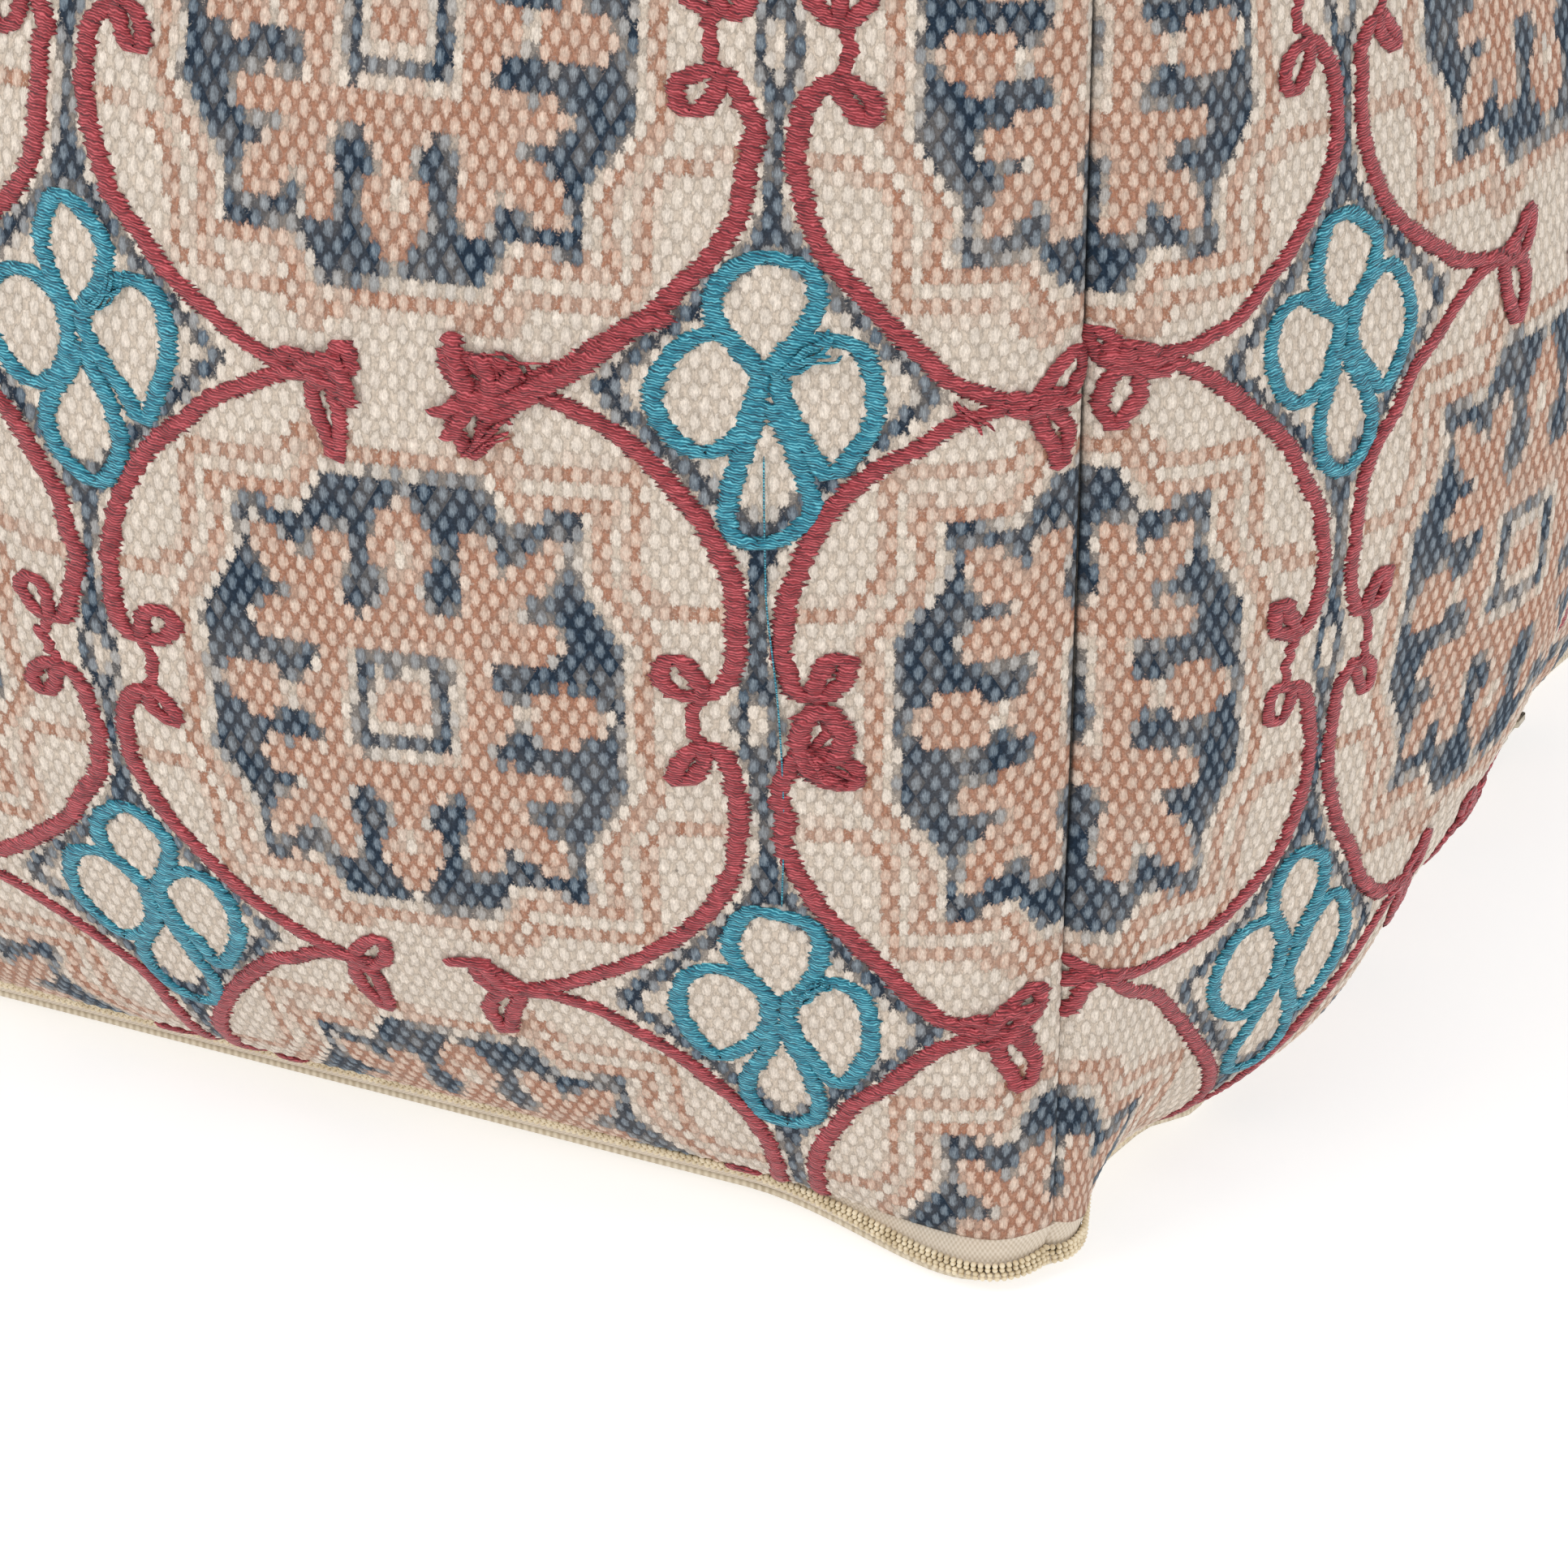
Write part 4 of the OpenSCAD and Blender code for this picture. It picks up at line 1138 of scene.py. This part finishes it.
# Grids of points turned into thin cloth
def gridFaces(n, m, first=0, flip=False):
    at = first + np.arange(n * m).reshape(n, m)
    quads = np.stack([at[:-1, :-1], at[1:, :-1], at[1:, 1:], at[:-1, 1:]], -1).reshape(-1, 4)
    return quads[:, ::-1] if flip else quads


# A closed sheet between two grids of points
def thinSheet(name, outer, inner, place, material, flip=False):
    n, m = outer.shape[:2]
    k = n * m
    at = np.arange(k).reshape(n, m)
    faces = [gridFaces(n, m, 0, flip), gridFaces(n, m, k, not flip)]
    faces += [rim[:, ::-1] if flip else rim for rim in rimFaces(at, k)]
    points = np.concatenate([outer.reshape(-1, 3), inner.reshape(-1, 3)])
    piece = meshFrom(name, points, faces, material)
    attribute(piece, "place", np.concatenate([place.reshape(-1, 3)] * 2), "POINT")
    return piece


# Bottom panel
base = {"points": 97, "swellSize": 60, "swell": (0.12, 0.25), "flat": 0.02, "slow": 2, "edge": 12}


def makeBottom():
    s, t = np.meshgrid(shares(base["points"]), shares(base["points"]), indexing="ij")
    low = settled(np.stack(bottomPoint(s, t, 0.0, cube["rise"]), -1))
    edge = np.minimum(1 - np.abs(s), 1 - np.abs(t))
    # soft swells, but flat where it rests on the floor
    size, mean = base["swell"]
    swell = Waves(51, base["swellSize"]).at(low) * size + mean
    risen = smooth((low[..., 2] - base["flat"]) * base["slow"])
    low[..., 2] += swell * risen * smooth(edge * base["edge"])
    high = low + upward * cloth["thick"]
    place = low * np.array([1, 1, 0])
    return thinSheet("bottom_cover", low, high, place, baseCanvas, flip=True)


bottomCover = makeBottom()
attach(bottomCover, "root")
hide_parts("bottom_panel")


# Inner bag and fill
bag = {"inset": 9.0, "depth": 1.8, "thick": 0.5, "floor": 1.8, "points": 33}
fibre = {"inset": 0.8, "points": 41, "lumpSize": 34, "lumps": (1.2, 0.5), "lumpMost": 3, "edge": 6}


def bagSkin(word, extra, n):
    inset = bag["inset"] + extra
    depth = bag["depth"] + extra
    s, t = np.meshgrid(shares(n), shares(n), indexing="ij")
    if word == "top":
        return np.stack(topPoint(s, t, inset, depth, 0.0), -1)
    if word == "bottom":
        return settled(np.stack(bottomPoint(s, t, bag["floor"] + extra, edgeZ, inset, 0.0), -1))
    p = turned(*sidePoint(s, t, inset, depth, 0.0, inset), sideNames.index(word))
    return settled(p) if word == "right" else p


for word in sideNames + ["top", "bottom"]:
    outer, inner = [bagSkin(word, extra, bag["points"]) for extra in (0.0, bag["thick"])]
    if word in ("top", "bottom"):
        place = outer * np.array([1, 1, 0])
    else:
        along = outer[..., 0] if word in ("front", "back") else outer[..., 1]
        place = np.stack([along, outer[..., 2], 0 * along], -1)
    piece = thinSheet("bag_" + word, outer, inner, place, bagCalico, flip=word == "bottom")
    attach(piece, "root")
    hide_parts("liner_" + word)


def makeFill():
    n = fibre["points"]
    skins = []
    faces = []
    lumps = Waves(61, fibre["lumpSize"])
    away = smooth((1 - np.maximum(np.abs(shares(n))[:, None], np.abs(shares(n))[None])) * fibre["edge"])
    for word in sideNames + ["top", "bottom"]:
        p = bagSkin(word, fibre["inset"], n)
        toMiddle = unit(middleOfCube - p)
        deep = away * (fibre["lumps"][0] + fibre["lumps"][1] * lumps.at(p))
        faces.append(gridFaces(n, n, n * n * len(skins), word == "bottom"))
        skins.append((p + toMiddle * deep.clip(0, fibre["lumpMost"])[..., None]).reshape(-1, 3))
    points = np.concatenate(skins)
    keys = np.rint(points * 50).astype(np.int64)
    unique, where = np.unique(keys, axis=0, return_inverse=True)
    where = where.ravel()
    merged = np.zeros((len(unique), 3))
    merged[where] = points
    return meshFrom("fibre_fill", merged, [where[f] for f in faces], looseFibre)


fibreFill = makeFill()
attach(fibreFill, "root")
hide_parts("fill")
print("bottom, inner bag and fill made")

# The zip
# Share s along a side, out beyond the fold, height z before the band turns under
def zipPoint(side, s, out, z):
    under = band["turn"] * float(tilt(side, s))
    drop = z - edgeZ
    away = drop * math.sin(under) + (out if out < 0 else out * math.cos(under))
    up = edgeZ + drop * math.cos(under) - max(out, 0) * math.sin(under)
    ears = float(ear(s))
    slope = float(earSlope(side, s)) * smooth(-drop / zipForm["slopeOver"])
    hang = smooth(-drop / zipForm["hangOver"])
    rounding = cube["cut"] * abs(s) ** cube["cutRate"] + cube["cornerCut"] * abs(s) ** cube["cornerRate"]
    half = zipForm["half"] - rounding
    outward = half - cube["earOut"] * (1 - ears) + away + slope
    along = s * (half + (away + slope) * abs(s) ** 6)
    height = up + float(earEdge(s)) * (1 - hang) - cube["earDrop"] * ears * hang
    point = turned(along, outward, height, side)
    return settled(point) if side == 1 else point


# Stations (side, share) evenly spaced along the zip, round three sides
def zipRun(spacing, whole):
    fine = [(side, s) for side in (3, 0, 1) for s in np.linspace(-1, 1, 1201)]
    spots = np.array([zipPoint(side, s, 1.1, 0.0) for side, s in fine])
    run = np.concatenate([[0], np.cumsum(np.linalg.norm(np.diff(spots, axis=0), axis=1))])
    if not whole:
        last = len(fine) - 1
        y = spots[:, 1]
        begin = next(k for k in range(last) if y[k] < zipForm["end"])
        end = next(k for k in range(last, 0, -1) if y[k] < zipForm["end"])
        fine, run = fine[begin:end + 1], run[begin:end + 1] - run[begin]
    count = int(run[-1] / spacing)
    picks = np.interp(np.linspace(0, run[-1], count + 1), run, np.arange(len(fine)))
    stations = []
    for pick in picks:
        k = int(min(pick, len(fine) - 2))
        f = pick - k
        (sideA, sA), (sideB, sB) = fine[k], fine[k + 1]
        stations.append((sideA, sA + (sB - sA) * f) if sideA == sideB else (sideB, sB))
    return stations, spacing * np.arange(count + 1)


# How far the coil rows stand apart here, for the slider's wedge
def parting(side, s):
    if side != 1:
        return 0.0
    y = s * zipForm["half"]
    slider = zipForm["end"] - zipForm["sliderHalf"]
    return zipForm["part"] * float(np.clip((y - slider) / (zipForm["sliderHalf"] / 2), 0, 1))


def makeTape(name, upper, stations, run):
    high = edgeZ - cube["shelf"]
    low = zipForm["low"]
    t = zipForm["tape"]
    turn = cloth["turn"]
    points = []
    place = []
    for (side, s), along in zip(stations, run):
        chain = float(chainHeight(side, s))
        # beyond the stops the two tapes are sewn edge to edge
        back = backShare(side, s) * zipForm["half"] if side else 0.0
        slit = zipForm["sewnSlit" if back > zipForm["end"] + zipForm["sewnFrom"] else "slit"]
        if upper:
            profile = [(0, high), (0, (high + chain + slit) / 2), (0, chain + slit), (-t, chain + slit),
                       (-t, high - t), (-turn, high - t), (-turn, high)]
        else:
            profile = [(-turn, low), (-turn, low + t), (-t, low + t), (-t, chain - slit), (0, chain - slit),
                       (0, low)]
        for k, (out, z) in enumerate(profile):
            points.append(zipPoint(side, s, out, z))
            place.append((along, z + out, 0))
    k = len(profile)
    n = len(stations)
    ring = np.arange(n)[:, None] * k + np.arange(k)[None]
    nxt = np.roll(ring, -1, axis=1)
    walls = np.stack([ring[:-1], ring[1:], nxt[1:], nxt[:-1]], -1).reshape(-1, 4)
    caps = np.stack([ring[0], ring[-1][::-1]])
    piece = meshFrom(name, np.array(points), [walls, caps], zipTape, smoothShading=False)
    attribute(piece, "place", np.array(place, float), "POINT")
    return piece


def bead(radii, lon=8, lat=4):
    rings = []
    for j in range(1, lat):
        a = math.pi * j / lat
        for i in range(lon):
            b = 2 * math.pi * i / lon
            rings.append((math.sin(a) * math.cos(b), math.sin(a) * math.sin(b), math.cos(a)))
    points = np.array([(0, 0, 1)] + rings + [(0, 0, -1)]) * radii
    tris = []
    quads = []
    last = len(points) - 1
    for i in range(lon):
        nxt = (i + 1) % lon
        tris.append((0, 1 + i, 1 + nxt))
        tris.append((last, last - lon + nxt, last - lon + i))
        for j in range(lat - 2):
            a = 1 + j * lon
            quads.append((a + i, a + lon + i, a + lon + nxt, a + nxt))
    return points, np.array(tris), np.array(quads)


# The rows are split where the slider's run ends: only the run parts as the slider passes
def makeCoil(name, upper, onRun):
    direction = 1 if upper else -1
    stations, run = zipRun(zipForm["pitch"], False)
    shape, tris, quads = bead(np.array(zipForm["bead"]))
    points = []
    allTris = []
    allQuads = []
    for side, s in stations:
        if (side == 1 and s * zipForm["half"] > zipForm["runEnd"]) != onRun:
            continue
        gap = parting(side, s)
        for lobe, shown in zipForm["beads"]:
            out = shown - zipForm["tiltIn"] * float(tilt(side, s))
            z = float(chainHeight(side, s)) + direction * (zipForm["beadGap"] + lobe + gap)
            here = zipPoint(side, s, out, z)
            ahead = zipPoint(side, min(s + zipForm["look"], 1.0), out, z)
            behind = zipPoint(side, max(s - zipForm["look"], -1.0), out, z)
            run3 = unit(ahead - behind)
            axes = np.stack([run3, unit(np.cross(run3, upward)), upward])
            shift = direction * (zipForm["drift"] + zipForm["stagger"])
            first = len(points) * len(shape)
            points.append(shape @ axes + here + run3 * shift)
            allTris.append(tris + first)
            allQuads.append(quads + first)
    faceSets = [np.concatenate(allTris), np.concatenate(allQuads)]
    return meshFrom(name, np.concatenate(points), faceSets, zipCoil)


tapeStations, tapeRun = zipRun(zipForm["pitch"], True)
for word, upper in (("upper", True), ("lower", False)):
    tape = makeTape("zip_tape_" + word, upper, tapeStations, tapeRun)
    coil = makeCoil("zip_coil_" + word, upper, False)
    openingCoil = makeCoil("zip_coil_opening_" + word, upper, True)
    for piece, node, slotName in ((tape, "zipper_tape_", "zip_tape"), (coil, "zipper_coil_", "zip_coil"),
                                  (openingCoil, "zipper_coil_", "zip_coil")):
        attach(piece, "root")
        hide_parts(node + word)
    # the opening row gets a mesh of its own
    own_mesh(openingCoil)
print("zip made")

for node in ("zipper_slider_body", "zipper_pull_tab", "zipper_top_stops", "zipper_bottom_stop"):
    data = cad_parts[node].data
    data.materials.clear()
    data.materials.append(zipMetal)

# Stage and light
studio = {
    "floorSize": 12.0, "floorDrop": 0.0004, "floor": 0.6, "glow": 0.58, "world": 0.82, "aim": 0.2,
    "lamps": (("keyLamp", (-1.1, -1.9, 2.2), 22.0, 1.6), ("fillLamp", (2.2, -0.9, 1.3), 9.0, 1.8)),
}


def makeFloor():
    mesh = bpy.data.meshes.new("floor")
    r = studio["floorSize"]
    corners = [(x, y, -studio["floorDrop"]) for x, y in ((-r, -r), (r, -r), (r, r), (-r, r))]
    mesh.from_pydata(corners, [], [(0, 1, 2, 3)])
    pale = Look("paleFloor")
    shader = pale.tree.nodes["Principled BSDF"]
    for key, value in (("Base Color", (studio["floor"],) * 3 + (1.0,)), ("Roughness", 1.0),
                       ("Specular IOR Level", 0.0), ("Emission Color", (1, 1, 1, 1)),
                       ("Emission Strength", studio["glow"])):
        pale.feed(shader.inputs[key], value)
    mesh.materials.append(pale.material)
    floor = link("floor", mesh)


# Softer light than the white that the camera and shiny surfaces see
def makeWorld():
    world = bpy.data.worlds.new("studio")
    world.use_nodes = True
    world.node_tree.nodes.clear()
    n = Nodes(world.node_tree)
    rays = n.put("LightPath", {}).outputs
    seen = n.maths("MAXIMUM", rays["Is Camera Ray"], rays["Is Glossy Ray"])
    seen = n.maths("MAXIMUM", seen, rays["Is Transmission Ray"])
    dim, full = [n.put("Background", {"Color": (1, 1, 1, 1), "Strength": strength}).outputs[0]
                 for strength in (studio["world"], 1.0)]
    both = n.put("MixShader", {0: seen, 1: dim, 2: full}).outputs[0]
    n.put("OutputWorld", {0: both})
    bpy.context.scene.world = world


def makeLamps():
    for name, place, power, size in studio["lamps"]:
        data = bpy.data.lights.new(name, "AREA")
        data.energy = power
        data.size = size
        back = unit(np.array(place) - np.array([0, 0, studio["aim"]]))
        right = unit(np.cross(upward, back))
        turn = Matrix([right, np.cross(back, right), back]).transposed().to_4x4()
        link(name, data).matrix_world = Matrix.Translation(place) @ turn


makeFloor()
makeWorld()
makeLamps()
bpy.context.scene.view_settings.view_transform = "Standard"
print("stage lit")
